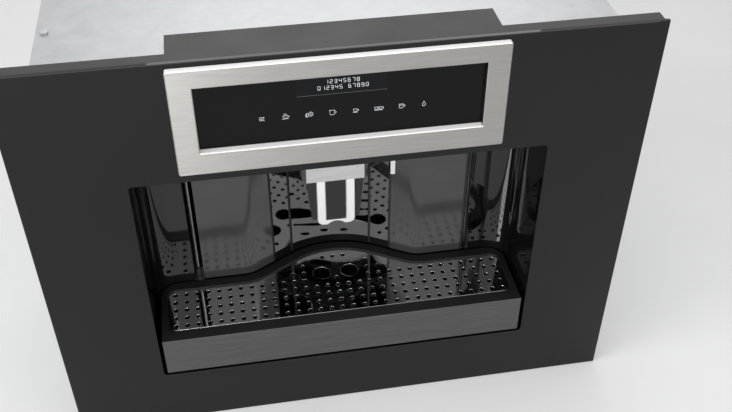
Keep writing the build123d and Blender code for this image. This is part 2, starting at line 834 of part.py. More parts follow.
# ================================================================ service bay behind the door
with BuildPart() as service_bay:
    with BuildSketch(side(-bay_half - moulded_wall)):
        with BuildLine():
            Polyline((liner_back, rim_top - moulded_wall), (bay_sill, rim_top - moulded_wall),
                     (bay_sill, bay_floor), (bay_rear, bay_floor), (bay_rear, bay_roof),
                     (bay_step, bay_roof), (bay_step, opening_top + moulded_wall),
                     (liner_back, opening_top + moulded_wall), close=True)
        make_face()
    extrude(amount=2 * (bay_half + moulded_wall))
    box(-bay_half - bay_flange, bay_half + bay_flange, liner_back, liner_back + moulded_wall, rim_top,
        opening_top + 2 * moulded_wall)
    with BuildSketch(side(-bay_half)):
        with BuildLine():
            Polyline((liner_back - cut_past, rim_top), (bay_sill + moulded_wall, rim_top),
                     (bay_sill + moulded_wall, bay_floor + moulded_wall),
                     (bay_rear - moulded_wall, bay_floor + moulded_wall),
                     (bay_rear - moulded_wall, bay_roof - moulded_wall),
                     (bay_step - moulded_wall, bay_roof - moulded_wall),
                     (bay_step - moulded_wall, opening_top), (liner_back - cut_past, opening_top),
                     close=True)
        make_face()
    extrude(amount=2 * bay_half, mode=Mode.SUBTRACT)
    with BuildSketch(plan(bay_floor)):
        add(alcove(moulded_wall + slide_gap))
    extrude(amount=rim_top - bay_floor, mode=Mode.SUBTRACT)
    box(bay_half - cut_past, bay_half + scoop_width + moulded_wall + 1.0, liner_back - cut_past,
        liner_depth + scoop_depth + moulded_wall + seat_gap,
        scoop_middle - scoop_height / 2 - moulded_wall - seat_gap,
        scoop_middle + scoop_height / 2 + moulded_wall + seat_gap, Mode.SUBTRACT)
    # Shelf that carries the infuser, with a hole for the piston rod.
    box(-bay_half - cut_past, bay_half + cut_past, bay_rear - shelf_depth, bay_rear - cut_past,
        shelf_bottom, shelf_top)
    box(-piston_rod_half - 1.0, piston_rod_half + 1.0, infuser_depth - piston_rod_half - 1.0,
        infuser_depth + piston_rod_half + 1.0, shelf_bottom - cut_past, shelf_top + cut_past,
        Mode.SUBTRACT)
    flat_bar(-bay_half - 2 * moulded_wall, -bay_half + cut_past, drive_depth, drive_z,
             drive_shaft_radius + slide_gap, mode=Mode.SUBTRACT)
    box(chute_left, chute_right, chute_front, chute_rear, bay_roof - moulded_wall - cut_past,
        bay_roof + cut_past, Mode.SUBTRACT)
    box(bay_half - cut_past, bay_half + moulded_wall + cut_past,
        switch_centre - switch_depth / 2 - slide_gap, switch_centre + switch_depth / 2 + slide_gap,
        switch_z - switch_height / 2 - slide_gap, switch_z + switch_height / 2 + slide_gap,
        Mode.SUBTRACT)
    box(-bay_half - slide_gap, bracket_side + seat_gap, liner_back - cut_past,
        liner_depth + bracket_length + cut_past, bracket_foot - slide_gap, rim_top + cut_past,
        Mode.SUBTRACT)
service_bay.part.label = "service_bay"
export_step(service_bay.part, "parts/service_bay.step")

with BuildPart() as hinge_brackets:
    for low in (bracket_foot, bracket_head):
        box(-bay_half, bracket_side, liner_depth + 0.5, liner_depth + bracket_length, low,
            low + bracket_height)
    prism(hinge_x, hinge_depth, bracket_foot, bracket_head + bracket_height, rod_radius, 12,
          mode=Mode.SUBTRACT)
hinge_brackets.part.label = "hinge_brackets"
export_step(hinge_brackets.part, "parts/hinge_brackets.step")

with BuildPart() as hinge_rod:
    prism(hinge_x, hinge_depth, bracket_foot, bracket_head + bracket_height, rod_radius, 12)
hinge_rod.part.label = "hinge_rod"
export_step(hinge_rod.part, "parts/hinge_rod.step")

# The catch on the bay's right wall is open towards the tongue of the door.
catch_front = liner_depth + scoop_depth
catch_foot = scoop_middle - catch_height / 2
with BuildPart() as door_catch:
    box(bay_half - catch_width, bay_half, catch_front, catch_front + catch_length, catch_foot,
        catch_foot + catch_height)
    box(bay_half - catch_width, bay_half - catch_wall, catch_front + catch_wall,
        catch_front + catch_length - catch_wall, catch_foot + catch_wall,
        catch_foot + catch_height - catch_wall, Mode.SUBTRACT)
door_catch.part.label = "door_catch"
export_step(door_catch.part, "parts/door_catch.step")

# ================================================================ service door
notch_left = nozzle_x - finger_radius
notch_bottom = nozzle_tip - 2 * nut_height
with BuildPart() as door_inner:
    with BuildSketch(plan(door_foot)):
        add(band(door_skin, door_skin + door_body))
    extrude(amount=door_height)
    rib_root = liner_depth + door_skin + door_body
    for rib_x in (-door_half + door_rib_side, door_half - door_rib_side):
        box(rib_x - door_rib / 2, rib_x + door_rib / 2, rib_root - cut_past, rib_root + door_rib_reach,
            door_foot + door_body, door_top - door_body)
    box(door_half - cut_past, bay_half - moulded_wall, liner_depth + trim_radius + cut_past,
        liner_depth + door_skin + door_body, door_foot, door_top)
    tongue_edge = bay_half - catch_width - moulded_wall
    box(tongue_edge - 2 * catch_wall, tongue_edge, rib_root - cut_past, rib_root + door_rib_reach + 6,
        scoop_middle - tongue_height / 2, scoop_middle + tongue_height / 2)
    for low in (door_foot + 0.5, door_top - knuckle_height - 0.5):
        box(hinge_x, -door_half + cut_past, hinge_depth - cut_past, liner_depth + door_skin + door_body,
            low, low + knuckle_height)
        prism(hinge_x, hinge_depth, low, low + knuckle_height, knuckle_radius, 10)
    post(hinge_x, hinge_depth, door_foot, door_top, rod_radius + running_gap, Mode.SUBTRACT)
    box(-carriage_half - slider_side - slider_plate, carriage_half + slider_side + slider_plate,
        liner_depth + door_skin + door_body, past_bulge, slot_bottom, slot_top, Mode.SUBTRACT)
    box(notch_left, outer_seam, liner_depth + door_skin, past_bulge, notch_bottom,
        door_top + cut_past, Mode.SUBTRACT)
door_inner.part.label = "door_inner"
export_step(door_inner.part, "parts/door_inner.step")

with BuildPart() as door_panel_left:
    with BuildSketch(plan(door_foot)):
        add(strip(0, door_skin, -door_half, -outer_seam))
    extrude(amount=door_height)
door_panel_left.part.label = "door_panel_left"
export_step(door_panel_left.part, "parts/door_panel_left.step")

with BuildPart() as door_panel_right:
    add(door_panel_left.part.mirror(Plane.YZ))
door_panel_right.part.label = "door_panel_right"
export_step(door_panel_right.part, "parts/door_panel_right.step")

with BuildPart() as recess_wing_left:
    with BuildSketch(plan(door_foot)):
        add(strip(0, door_skin, -outer_seam + outer_seam_width, -inner_seam))
    extrude(amount=door_height)
recess_wing_left.part.label = "recess_wing_left"
export_step(recess_wing_left.part, "parts/recess_wing_left.step")

with BuildPart() as recess_wing_right:
    add(recess_wing_left.part.mirror(Plane.YZ))
    box(notch_left, outer_seam, liner_depth - cut_past, past_bulge, notch_bottom,
        door_top + cut_past, Mode.SUBTRACT)
recess_wing_right.part.label = "recess_wing_right"
export_step(recess_wing_right.part, "parts/recess_wing_right.step")

with BuildPart() as spout_guide_plate:
    with BuildSketch(plan(door_foot)):
        add(strip(0, door_skin, -guide_half, guide_half))
    extrude(amount=door_height)
    box(-carriage_half - slide_gap, carriage_half + slide_gap, liner_depth, past_bulge, slot_bottom,
        slot_top, Mode.SUBTRACT)
spout_guide_plate.part.label = "spout_guide_plate"
export_step(spout_guide_plate.part, "parts/spout_guide_plate.step")

with BuildPart() as door_trim_right:
    post(-hinge_x, liner_depth + trim_radius + cut_past, door_foot, door_top, trim_radius)
    box(-hinge_x - 2 * trim_radius, -hinge_x + 2 * trim_radius, liner_depth + trim_radius + cut_past,
        liner_depth + 3 * trim_radius + cut_past, door_foot, door_top, Mode.SUBTRACT)
door_trim_right.part.label = "door_trim_right"
export_step(door_trim_right.part, "parts/door_trim_right.step")

# ================================================================ spout, which slides on the door
with BuildPart() as spout_block:
    box(-spout_half, spout_half, spout_front, spout_front + spout_block_depth, spout_split, spout_top)
    chamfer(spout_block.faces().sort_by(Axis.Y)[0].edges().filter_by(Axis.Z), spout_chamfer)
    fillet(spout_block.faces().sort_by(Axis.Z)[-1].edges(), 1.0)
spout_block.part.label = "spout_block"
export_step(spout_block.part, "parts/spout_block.step")

shell_front = spout_front + spout_body_setback
shell_half = spout_half - spout_chamfer
block_rear = spout_front + spout_block_depth
window_half = cover_half - cover_leg
window_foot = cover_foot + arch_height + arch_web
outlet_tip = cover_foot + cut_past
neck_front = bulge_depth - neck_reach
with BuildPart() as spout_housing:
    with BuildSketch(face(shell_front)) as shell:
        with BuildLine():
            Polyline((-shell_half, spout_split), (shell_half, spout_split),
                     (shell_half - spout_taper, spout_foot), (-shell_half + spout_taper, spout_foot),
                     close=True)
        make_face()
        fillet(shell.vertices().group_by(Axis.Y)[0], spout_taper)
    extrude(amount=-(bulge_depth - shell_front))
    box(-shell_half + spout_taper, shell_half - spout_taper, block_rear, block_rear + shell_half,
        spout_split - cut_past, spout_top - sheet)
    with BuildSketch(plan(spout_foot - cut_past)):
        add(alcove(-spout_gap, fascia_depth))
    extrude(amount=opening_height, mode=Mode.INTERSECT)
    # Dark pad behind the opening of the bright cover, and the two outlets under the body.
    box(-window_half + slide_gap, window_half - slide_gap, spout_front + sheet, shell_front + cut_past,
        window_foot + slide_gap, spout_split - slide_gap)
    for outlet_x in (-outlet_spread, outlet_spread):
        box(outlet_x - outlet_half, outlet_x + outlet_half, outlet_depth - outlet_half,
            outlet_depth + outlet_half, outlet_tip, spout_foot + cut_past)
        prism(outlet_x, outlet_depth, outlet_tip, spout_foot + cover_corner, outlet_bore, 6,
              mode=Mode.SUBTRACT)
    # Neck through the slot of the guide plate and the slider behind it.
    box(-carriage_half, carriage_half, neck_front, bulge_depth + door_skin + slider_plate,
        slider_foot, slider_top)
    slider_front = bulge_depth + door_skin + slider_gap
    box(-carriage_half - slider_side, carriage_half + slider_side, slider_front,
        slider_front + slider_plate, slider_foot, slider_top)
spout_housing.part.label = "spout_housing"
export_step(spout_housing.part, "parts/spout_housing.step")

with BuildPart() as spout_cover:
    with BuildSketch(face(spout_front)):
        with Locations((0, (cover_foot + spout_split) / 2)):
            outline = Rectangle(2 * cover_half, spout_split - cover_foot)
        fillet(outline.vertices().group_by(Axis.Y)[0], cover_corner)
        with BuildLine():
            ThreePointArc((-arch_half, cover_foot), (0, cover_foot + arch_height),
                          (arch_half, cover_foot))
            Line((arch_half, cover_foot), (-arch_half, cover_foot))
        make_face(mode=Mode.SUBTRACT)
        with Locations((0, (window_foot + spout_split) / 2)):
            Rectangle(2 * window_half, spout_split - window_foot, mode=Mode.SUBTRACT)
    extrude(amount=-spout_body_setback)
    chamfer(spout_cover.faces().sort_by(Axis.Y)[0].edges().filter_by(Axis.Z), 0.9)
spout_cover.part.label = "spout_cover"
export_step(spout_cover.part, "parts/spout_cover.step")

# ================================================================ brewing
grounds_front = bay_sill + moulded_wall + grounds_gap
grounds_rear = bay_rear - moulded_wall - grounds_rear_gap
grounds_foot = bay_floor + moulded_wall
grounds_top = grounds_foot + grounds_height
with BuildPart() as grounds_container:
    for inset, foot, mode in ((0, grounds_foot, Mode.ADD),
                              (grounds_wall, grounds_foot + grounds_wall, Mode.SUBTRACT)):
        with BuildSketch(plan(foot)) as bin_plan:
            with Locations((0, (grounds_front + grounds_rear) / 2)):
                Rectangle(2 * (grounds_half - inset), grounds_rear - grounds_front - 2 * inset)
            chamfer(bin_plan.vertices(), grounds_corner)
        extrude(amount=grounds_top - foot, mode=mode)
    box(-grip_half, grip_half, grounds_front - moulded_wall, grounds_front + 0.5,
        grounds_top - grip_height, grounds_top)
grounds_container.part.label = "grounds_container"
export_step(grounds_container.part, "parts/grounds_container.step")

with BuildPart() as infuser_body:
    box(-infuser_half, infuser_half, infuser_front, infuser_depth + infuser_rear, shelf_top,
        shelf_top + infuser_plate)
    box(-cylinder_half, cylinder_half, infuser_depth - cylinder_half, infuser_depth + cylinder_half,
        shelf_top + infuser_plate, cylinder_top)
    for column_x in (-infuser_half, infuser_half - column_width):
        box(column_x, column_x + column_width, infuser_depth - column_half, infuser_depth + column_half,
            shelf_top + infuser_plate, column_top)
    box(-infuser_half, infuser_half, infuser_depth - head_half, infuser_depth + head_half,
        column_top - head_height, column_top)
    prism(0, infuser_depth, shelf_top + infuser_plate + cylinder_floor, cylinder_top + cut_past,
          piston_radius + slide_gap, 24, mode=Mode.SUBTRACT)
    box(-piston_rod_half - running_gap, piston_rod_half + running_gap,
        infuser_depth - piston_rod_half - running_gap, infuser_depth + piston_rod_half + running_gap,
        shelf_top - cut_past, shelf_top + infuser_plate + 2 * cylinder_floor, Mode.SUBTRACT)
    flat_bar(-infuser_half - cut_past, -infuser_half + 10, drive_depth, drive_z,
             drive_shaft_radius + slide_gap, mode=Mode.SUBTRACT)
infuser_body.part.label = "infuser_body"
export_step(infuser_body.part, "parts/infuser_body.step")

piston_foot = shelf_top + infuser_plate + cylinder_floor + slide_gap
with BuildPart() as infuser_piston:
    prism(0, infuser_depth, piston_foot, piston_foot + piston_height, piston_radius, 24)
    box(-piston_rod_half, piston_rod_half, infuser_depth - piston_rod_half,
        infuser_depth + piston_rod_half, piston_foot - rod_reach, piston_foot)
infuser_piston.part.label = "infuser_piston"
export_step(infuser_piston.part, "parts/infuser_piston.step")

drive_right = -bay_half - moulded_wall
drive_left = drive_right - drive_width
with BuildPart() as brew_drive:
    box(drive_left, drive_right, drive_depth - drive_size / 2, drive_depth + drive_size / 2,
        drive_z - drive_size / 2, drive_z + drive_size / 2)
    chamfer(brew_drive.edges().filter_by(Axis.X), grounds_corner)
    with BuildSketch(face(drive_depth - drive_size / 2)):
        with Locations(((drive_left + drive_right) / 2, drive_z)):
            RegularPolygon(drive_motor_radius, 12)
    extrude(amount=drive_motor_length)
    flat_bar(drive_right - cut_past, -infuser_half + 6, drive_depth, drive_z, drive_shaft_radius)
brew_drive.part.label = "brew_drive"
export_step(brew_drive.part, "parts/brew_drive.step")

# ================================================================ grinder, hopper and powder chute
gear_left = burr_x - gear_reach
motor_x = burr_x - motor_offset
with BuildPart() as grinder_body:
    prism(burr_x, burr_depth, bay_roof, hopper_foot, grinder_radius, 12)
    box(gear_left, burr_x, burr_depth - gear_half, burr_depth + gear_half, bay_roof,
        bay_roof + gear_height)
    box(burr_x, chute_left - slide_gap, burr_depth - duct_half, burr_depth + duct_half, bay_roof,
        bay_roof + duct_height)
    post(burr_x, burr_depth, bay_roof + grinder_wall, hopper_foot + cut_past,
         grinder_radius - grinder_wall, Mode.SUBTRACT)
    box(burr_x, chute_left, burr_depth - duct_half + duct_wall, burr_depth + duct_half - duct_wall,
        bay_roof + duct_wall, bay_roof + duct_height - duct_wall, Mode.SUBTRACT)
    post(burr_x, burr_depth, bay_roof - cut_past, bay_roof + grinder_wall + cut_past,
         burr_shaft_radius + running_gap, Mode.SUBTRACT)
grinder_body.part.label = "grinder_body"
export_step(grinder_body.part, "parts/grinder_body.step")

with BuildPart() as grinder_motor:
    motor_foot = bay_roof + gear_height
    prism(motor_x, burr_depth, motor_foot, motor_foot + motor_height, motor_radius, 12)
    prism(motor_x, burr_depth, motor_foot + motor_height, motor_foot + motor_height + motor_cap,
          motor_radius / 2, 12)
grinder_motor.part.label = "grinder_motor"
export_step(grinder_motor.part, "parts/grinder_motor.step")

# Lower burr: shaft, flange and cutting cone. The ring above it is turned by the knob.
flange_foot = bay_roof + gear_height
cone_foot = flange_foot + 2 * yoke_height
with BuildPart() as grinder_burr:
    prism(burr_x, burr_depth, bay_roof, flange_foot, burr_shaft_radius, 8)
    prism(burr_x, burr_depth, flange_foot, cone_foot, burr_flange_radius, 16)
    prism(burr_x, burr_depth, cone_foot, cone_foot + burr_cone_height, burr_cone_radius, 16,
          burr_taper)
grinder_burr.part.label = "grinder_burr"
export_step(grinder_burr.part, "parts/grinder_burr.step")

burr_top = hopper_foot - duct_wall
burr_ring = grinder_radius - grinder_wall - slide_gap
with BuildPart() as upper_burr:
    with BuildSketch(plan(burr_top - upper_burr_height)):
        with Locations((burr_x, burr_depth)):
            RegularPolygon(burr_ring, 24)
            RegularPolygon(upper_burr_bore, 16, mode=Mode.SUBTRACT)
    extrude(amount=upper_burr_height)
    box(burr_x - upper_burr_bore - yoke_half, burr_x + upper_burr_bore + yoke_half,
        burr_depth - yoke_half, burr_depth + yoke_half, burr_top - yoke_height, burr_top)
upper_burr.part.label = "upper_burr"
export_step(upper_burr.part, "parts/upper_burr.step")

with BuildPart() as grind_knob:
    box(burr_x - knob_shaft / 2, burr_x + knob_shaft / 2, burr_depth - knob_shaft / 2,
        burr_depth + knob_shaft / 2, burr_top, knob_foot)
    prism(burr_x, burr_depth, knob_foot, knob_foot + knob_height, knob_radius, 12)
    box(burr_x - pointer_height, burr_x + pointer_height, burr_depth - knob_radius + duct_wall,
        burr_depth, knob_foot + knob_height, knob_foot + knob_height + pointer_height)
grind_knob.part.label = "grind_knob"
export_step(grind_knob.part, "parts/grind_knob.step")


def hopper_outline(outline_plane, middle, low, high, inset):
    """Outline of the bin above its funnel, seen from the front or from a side."""
    mouth = funnel_width / 2 - inset
    with BuildSketch(outline_plane) as outline:
        with BuildLine():
            Polyline((middle - mouth, hopper_foot), (middle + mouth, hopper_foot),
                     (high - inset, funnel_top + inset), (high - inset, lid_bottom),
                     (low + inset, lid_bottom), (low + inset, funnel_top + inset), close=True)
        make_face()
    return outline.sketch


def hopper_form(inset):
    """Front outline crossed with the side outline."""
    with BuildPart() as form:
        extrude(hopper_outline(face(hopper_front + inset), burr_x, hopper_left, hopper_right, inset),
                amount=-(hopper_rear - hopper_front - 2 * inset))
        extrude(hopper_outline(side(hopper_left + inset), burr_depth, hopper_front, hopper_rear, inset),
                amount=hopper_right - hopper_left - 2 * inset, mode=Mode.INTERSECT)
    return form.part


hopper_outside = hopper_form(0)
hopper_space = hopper_form(moulded_wall)
with BuildPart() as bean_hopper:
    add(hopper_outside)
    add(hopper_space, mode=Mode.SUBTRACT)
bean_hopper.part.label = "bean_hopper"
export_step(bean_hopper.part, "parts/bean_hopper.step")

bean_hinge = hopper_rear + hinge_setback
flap_hinge = chute_rear + hinge_setback
chute_middle = (chute_left + chute_right) / 2


def hinged_lid(x0, x1, depth0, hinge_at):
    """Flat lid with a finger bar in front and a pin between two ears at its rear edge."""
    middle = (x0 + x1) / 2
    box(x0, x1, depth0, hinge_at - hinge_edge, lid_bottom, lid_bottom + lid_thickness)
    box(middle - lug_half, middle + lug_half, depth0 + hinge_edge, depth0 + hinge_edge + lid_grip,
        lid_bottom + lid_thickness, lid_bottom + lid_thickness + lid_grip)
    for ear_x in (middle - lug_half - seat_gap - ear_width, middle + lug_half + seat_gap):
        box(ear_x, ear_x + ear_width, hinge_at - hinge_edge - cut_past, hinge_at + ear_rear, lid_bottom,
            pin_height + ear_rear)
    flat_bar(middle - lug_half - cut_past, middle + lug_half + cut_past, hinge_at, pin_height,
             pin_radius, 12)


def hinge_notches(x0, x1, bin_rear, hinge_at):
    """Openings in the top sheet that clear the ears of a lid."""
    middle = (x0 + x1) / 2
    ear_end = lug_half + seat_gap + ear_width + ear_gap
    for near, far in ((-ear_end, -lug_half), (lug_half, ear_end)):
        box(middle + near, middle + far, bin_rear - cut_past, hinge_at + hinge_edge,
            housing_top - sheet - cut_past, housing_top + cut_past, Mode.SUBTRACT)


def hinge_lug(x0, x1, hinge_at):
    """Lug on the top sheet that carries a lid's pin."""
    middle = (x0 + x1) / 2
    box(middle - lug_half, middle + lug_half, hinge_at - lug_front, hinge_at + lug_rear,
        housing_top - sheet, pin_height + lug_rise)
    crossbar(middle - lug_half - cut_past, middle + lug_half + cut_past, hinge_at, pin_height,
             pin_radius + running_gap, Mode.SUBTRACT)


with BuildPart() as bean_lid:
    hinged_lid(hopper_left, hopper_right, hopper_front, bean_hinge)
bean_lid.part.label = "bean_lid"
export_step(bean_lid.part, "parts/bean_lid.step")

with BuildPart() as chute_flap:
    hinged_lid(chute_left - cut_past, chute_right + cut_past, chute_front - cut_past, flap_hinge)
chute_flap.part.label = "chute_flap"
export_step(chute_flap.part, "parts/chute_flap.step")

with BuildPart() as powder_chute:
    box(chute_left - 1.0, chute_right + 1.0, chute_front - 1.0, chute_rear + 1.0,
        lid_bottom - chute_collar, lid_bottom)
    box(chute_left + slide_gap, chute_right - slide_gap, chute_front + slide_gap,
        chute_rear - slide_gap, bay_roof - chute_spigot, lid_bottom - chute_collar)
    box(chute_left + chute_wall, chute_right - chute_wall, chute_front + chute_wall,
        chute_rear - chute_wall, bay_roof - chute_spigot - cut_past, lid_bottom + cut_past,
        Mode.SUBTRACT)
    box(chute_left - cut_past, chute_left + chute_wall + cut_past,
        burr_depth - duct_half + duct_wall, burr_depth + duct_half - duct_wall, bay_roof + duct_wall,
        bay_roof + duct_height - duct_wall, Mode.SUBTRACT)
powder_chute.part.label = "powder_chute"
export_step(powder_chute.part, "parts/powder_chute.step")

# ================================================================ water system
with BuildPart() as tank_cradle:
    box(tank_left - cradle_wall, inner_half, tank_front - cradle_wall, tank_rear + cradle_wall,
        tank_foot - cradle_floor, tank_foot + cradle_lip)
    box(tank_left - cradle_gap, tank_right + cradle_gap, tank_front - cradle_gap,
        tank_rear + cradle_gap, tank_foot, tank_foot + cradle_lip + cut_past, Mode.SUBTRACT)
    prism(tank_middle, tank_centre, tank_foot - cradle_floor, tank_foot, drain_radius, 6,
          mode=Mode.SUBTRACT)
    for rib_depth in (tank_centre - cradle_rib_spread / 2, tank_centre + cradle_rib_spread / 2):
        box(tank_left - cradle_wall, inner_half, rib_depth - moulded_wall / 2,
            rib_depth + moulded_wall / 2, tank_foot - cradle_floor - cradle_rib_height,
            tank_foot - cradle_floor)
tank_cradle.part.label = "tank_cradle"
export_step(tank_cradle.part, "parts/tank_cradle.step")

with BuildPart() as water_tank:
    for inset, foot, head, mode in ((0, tank_foot, tank_top, Mode.ADD),
                                    (moulded_wall, tank_foot + moulded_wall, lid_bottom, Mode.SUBTRACT)):
        with BuildSketch(plan(foot)) as bowl:
            with Locations((tank_middle, tank_centre)):
                RectangleRounded(tank_width - 2 * inset, tank_length - 2 * inset, tank_corner - inset)
        extrude(bowl.sketch, amount=head - foot, mode=mode)
water_tank.part.label = "water_tank"
export_step(water_tank.part, "parts/water_tank.step")

with BuildPart() as tank_lid:
    with BuildSketch(plan(tank_top)) as cover_plate:
        with Locations((tank_middle, tank_centre)):
            RectangleRounded(tank_width, tank_length, tank_corner)
    extrude(cover_plate.sketch, amount=tank_lid_height)
    box(tank_middle - recess_width / 2, tank_middle + recess_width / 2,
        tank_centre - recess_length / 2, tank_centre + recess_length / 2, tank_top - recess_drop,
        tank_top + cut_past)
    box(tank_middle - recess_width / 2 + recess_wall, tank_middle + recess_width / 2 - recess_wall,
        tank_centre - recess_length / 2 + recess_wall, tank_centre + recess_length / 2 - recess_wall,
        tank_top - recess_drop + recess_wall, tank_top + 2 * tank_lid_height, Mode.SUBTRACT)
    box(tank_middle - lid_bar / 2, tank_middle + lid_bar / 2, tank_centre - recess_length / 2,
        tank_centre + recess_length / 2, tank_top, tank_top + recess_wall * 2)
tank_lid.part.label = "tank_lid"
export_step(tank_lid.part, "parts/tank_lid.step")

block_rear = rear_sheet_front - block_rear_gap
block_front = block_rear - block_length
block_left = tank_middle - block_width / 2
block_top = pan_top + block_foot + block_height
with BuildPart() as thermoblock:
    box(block_left - block_base, block_left + block_width + block_base, block_front - block_base,
        block_rear + block_base, pan_top, pan_top + block_foot)
    box(block_left, block_left + block_width, block_front, block_rear, pan_top + block_foot, block_top)
    for fin in range(int((block_width - fin_width) / fin_pitch) + 1):
        box(block_left + fin * fin_pitch, block_left + fin * fin_pitch + fin_width, block_front,
            block_rear, block_top, block_top + fin_height)
    for port_depth in (block_rear - block_length / 2 - port_spread / 2,
                       block_rear - block_length / 2 + port_spread / 2):
        flat_bar(block_left - port_reach, block_left, port_depth, block_top - block_height / 2,
                 port_width / 2)
thermoblock.part.label = "thermoblock"
export_step(thermoblock.part, "parts/thermoblock.step")

pump_z = pan_top + pump_axis
with BuildPart() as pump:
    box(tank_middle - pump_base / 2, tank_middle + pump_base / 2, pump_centre - pump_mount,
        pump_centre + pump_mount, pan_top, pan_top + pump_foot)
    for rubber_depth in (pump_centre - pump_mount + pump_spout, pump_centre + pump_mount - pump_spout):
        box(tank_middle - pump_radius, tank_middle + pump_radius, rubber_depth - moulded_wall,
            rubber_depth + moulded_wall, pan_top + pump_foot, pump_z)
    with BuildSketch(face(pump_centre - pump_length / 2)):
        with Locations((tank_middle, pump_z)):
            RegularPolygon(pump_radius, 12)
    extrude(amount=-pump_length)
    with BuildSketch(face(pump_centre - pump_length / 2 - pump_spout)):
        with Locations((tank_middle, pump_z)):
            RegularPolygon(pump_spout / 2, 6)
    extrude(amount=-(pump_length + 2 * pump_spout))
pump.part.label = "pump"
export_step(pump.part, "parts/pump.step")

# ================================================================ power and mains
board_rear = power_board_front + power_board_size
board_head = power_board_foot + power_board_size
board_face = board_x + board_thickness
with BuildPart() as power_board:
    for stud_depth in (power_board_front + stud_inset, board_rear - stud_inset):
        for stud_z in (power_board_foot + stud_inset, board_head - stud_inset):
            box(-inner_half, board_x, stud_depth - stud_size / 2, stud_depth + stud_size / 2,
                stud_z - stud_size / 2, stud_z + stud_size / 2)
    box(board_x, board_face, power_board_front, board_rear, power_board_foot, board_head)
    supply_front = power_board_front + supply_inset
    supply_foot = power_board_foot + supply_inset
    box(board_face, board_face + supply_height, supply_front, supply_front + supply_size,
        supply_foot, supply_foot + supply_size)
    relay_foot = power_board_foot + relay_rise
    for relay in range(3):
        relay_front = power_board_front + relay_start + relay * relay_pitch
        box(board_face, board_face + relay_height, relay_front, relay_front + relay_size,
            relay_foot, relay_foot + 2 * relay_size)
    for can in range(2):
        flat_bar(board_face, board_face + can_height,
                 power_board_front + can_start + can * can_pitch, power_board_foot + can_rise,
                 can_radius, 10)
power_board.part.label = "power_board"
export_step(power_board.part, "parts/power_board.step")

with BuildPart() as mains_inlet:
    inlet_front = rear_sheet_front - inlet_depth
    box(inlet_x - inlet_width / 2, inlet_x + inlet_width / 2, inlet_front, rear_sheet_front,
        inlet_height - inlet_tall / 2, inlet_height + inlet_tall / 2)
    box(inlet_x - inlet_width / 2 - inlet_flange, inlet_x + inlet_width / 2 + inlet_flange,
        rear_sheet_front - sheet, rear_sheet_front,
        inlet_height - inlet_tall / 2 - inlet_flange, inlet_height + inlet_tall / 2 + inlet_flange)
    box(inlet_x - inlet_width / 2 + inlet_wall, inlet_x + inlet_width / 2 - inlet_wall,
        inlet_front + inlet_wall, rear_sheet_front + cut_past,
        inlet_height - inlet_tall / 2 + inlet_flange, inlet_height + inlet_tall / 2 - inlet_flange,
        Mode.SUBTRACT)
    for blade_x in (inlet_x - blade_pitch, inlet_x, inlet_x + blade_pitch):
        box(blade_x - 1.0, blade_x + 1.0, inlet_front + inlet_wall, rear_sheet_front - sheet,
            inlet_height - 3.0, inlet_height + 3.0)
mains_inlet.part.label = "mains_inlet"
export_step(mains_inlet.part, "parts/mains_inlet.step")

body_front = switch_centre - switch_depth / 2
body_rear = switch_centre + switch_depth / 2
body_foot = switch_z - switch_height / 2
body_top = switch_z + switch_height / 2
with BuildPart() as switch_body:
    box(bay_half - sheet, bay_half, body_front - switch_flange, body_rear + switch_flange,
        body_foot - switch_flange, body_top + switch_flange)
    box(bay_half, bay_half + switch_reach, body_front, body_rear, body_foot, body_top)
    box(bay_half - 2 * sheet, bay_half + switch_reach - 2 * moulded_wall, body_front + switch_wall,
        body_rear - switch_wall, body_foot + sheet, body_top - sheet, Mode.SUBTRACT)
    with BuildSketch(face(body_front + sheet)):
        with Locations((rocker_x, switch_z)):
            Circle(rocker_axle + running_gap)
    extrude(amount=-(switch_depth - 2 * sheet), mode=Mode.SUBTRACT)
switch_body.part.label = "switch_body"
export_step(switch_body.part, "parts/switch_body.step")

with BuildPart() as switch_rocker:
    with BuildSketch(face(switch_centre - rocker_half)):
        with BuildLine():
            Polyline((rocker_x + rocker_recess, switch_z - rocker_lift + 2),
                     (rocker_x + rocker_recess, switch_z + rocker_lift - 2),
                     (rocker_x - rocker_tip, switch_z + rocker_lift),
                     (rocker_x - rocker_tip + sheet, switch_z),
                     (rocker_x - rocker_tip, switch_z - rocker_lift), close=True)
        make_face()
    extrude(amount=-2 * rocker_half)
    with BuildSketch(face(body_front + sheet + slide_gap)):
        with Locations((rocker_x, switch_z)):
            RegularPolygon(rocker_axle, 8)
    extrude(amount=-(switch_depth - 2 * sheet - 2 * slide_gap))
switch_rocker.part.label = "switch_rocker"
export_step(switch_rocker.part, "parts/switch_rocker.step")

# ================================================================ housing
with BuildPart() as base_pan:
    box(-inner_half, inner_half, housing_front, rear_sheet_front, housing_floor, pan_top)
    for wall_x in (-inner_half, inner_half - sheet):
        box(wall_x, wall_x + sheet, housing_front, rear_sheet_front, housing_floor,
            housing_floor + pan_lip)
    with BuildSketch(plan(housing_floor - cut_past)) as floor_vents:
        with Locations((0, bay_rear)):
            with GridLocations(floor_vent_pitch, 0, 6, 1):
                Rectangle(floor_vent_length, rear_vent_height)
    extrude(floor_vents.sketch, amount=sheet + 2 * cut_past, mode=Mode.SUBTRACT)
base_pan.part.label = "base_pan"
export_step(base_pan.part, "parts/base_pan.step")

with BuildPart() as side_panel_left:
    box(-housing_half, -inner_half, housing_front, rear_sheet_front, housing_floor,
        housing_top - sheet)
    with BuildSketch(side(-housing_half - cut_past)) as side_vents:
        with Locations((tank_rear - vent_length / 2, shelf_bottom)):
            with GridLocations(0, vent_pitch, 1, 7):
                Rectangle(vent_length, vent_height)
    extrude(side_vents.sketch, amount=sheet + 2 * cut_past, mode=Mode.SUBTRACT)
side_panel_left.part.label = "side_panel_left"
export_step(side_panel_left.part, "parts/side_panel_left.step")

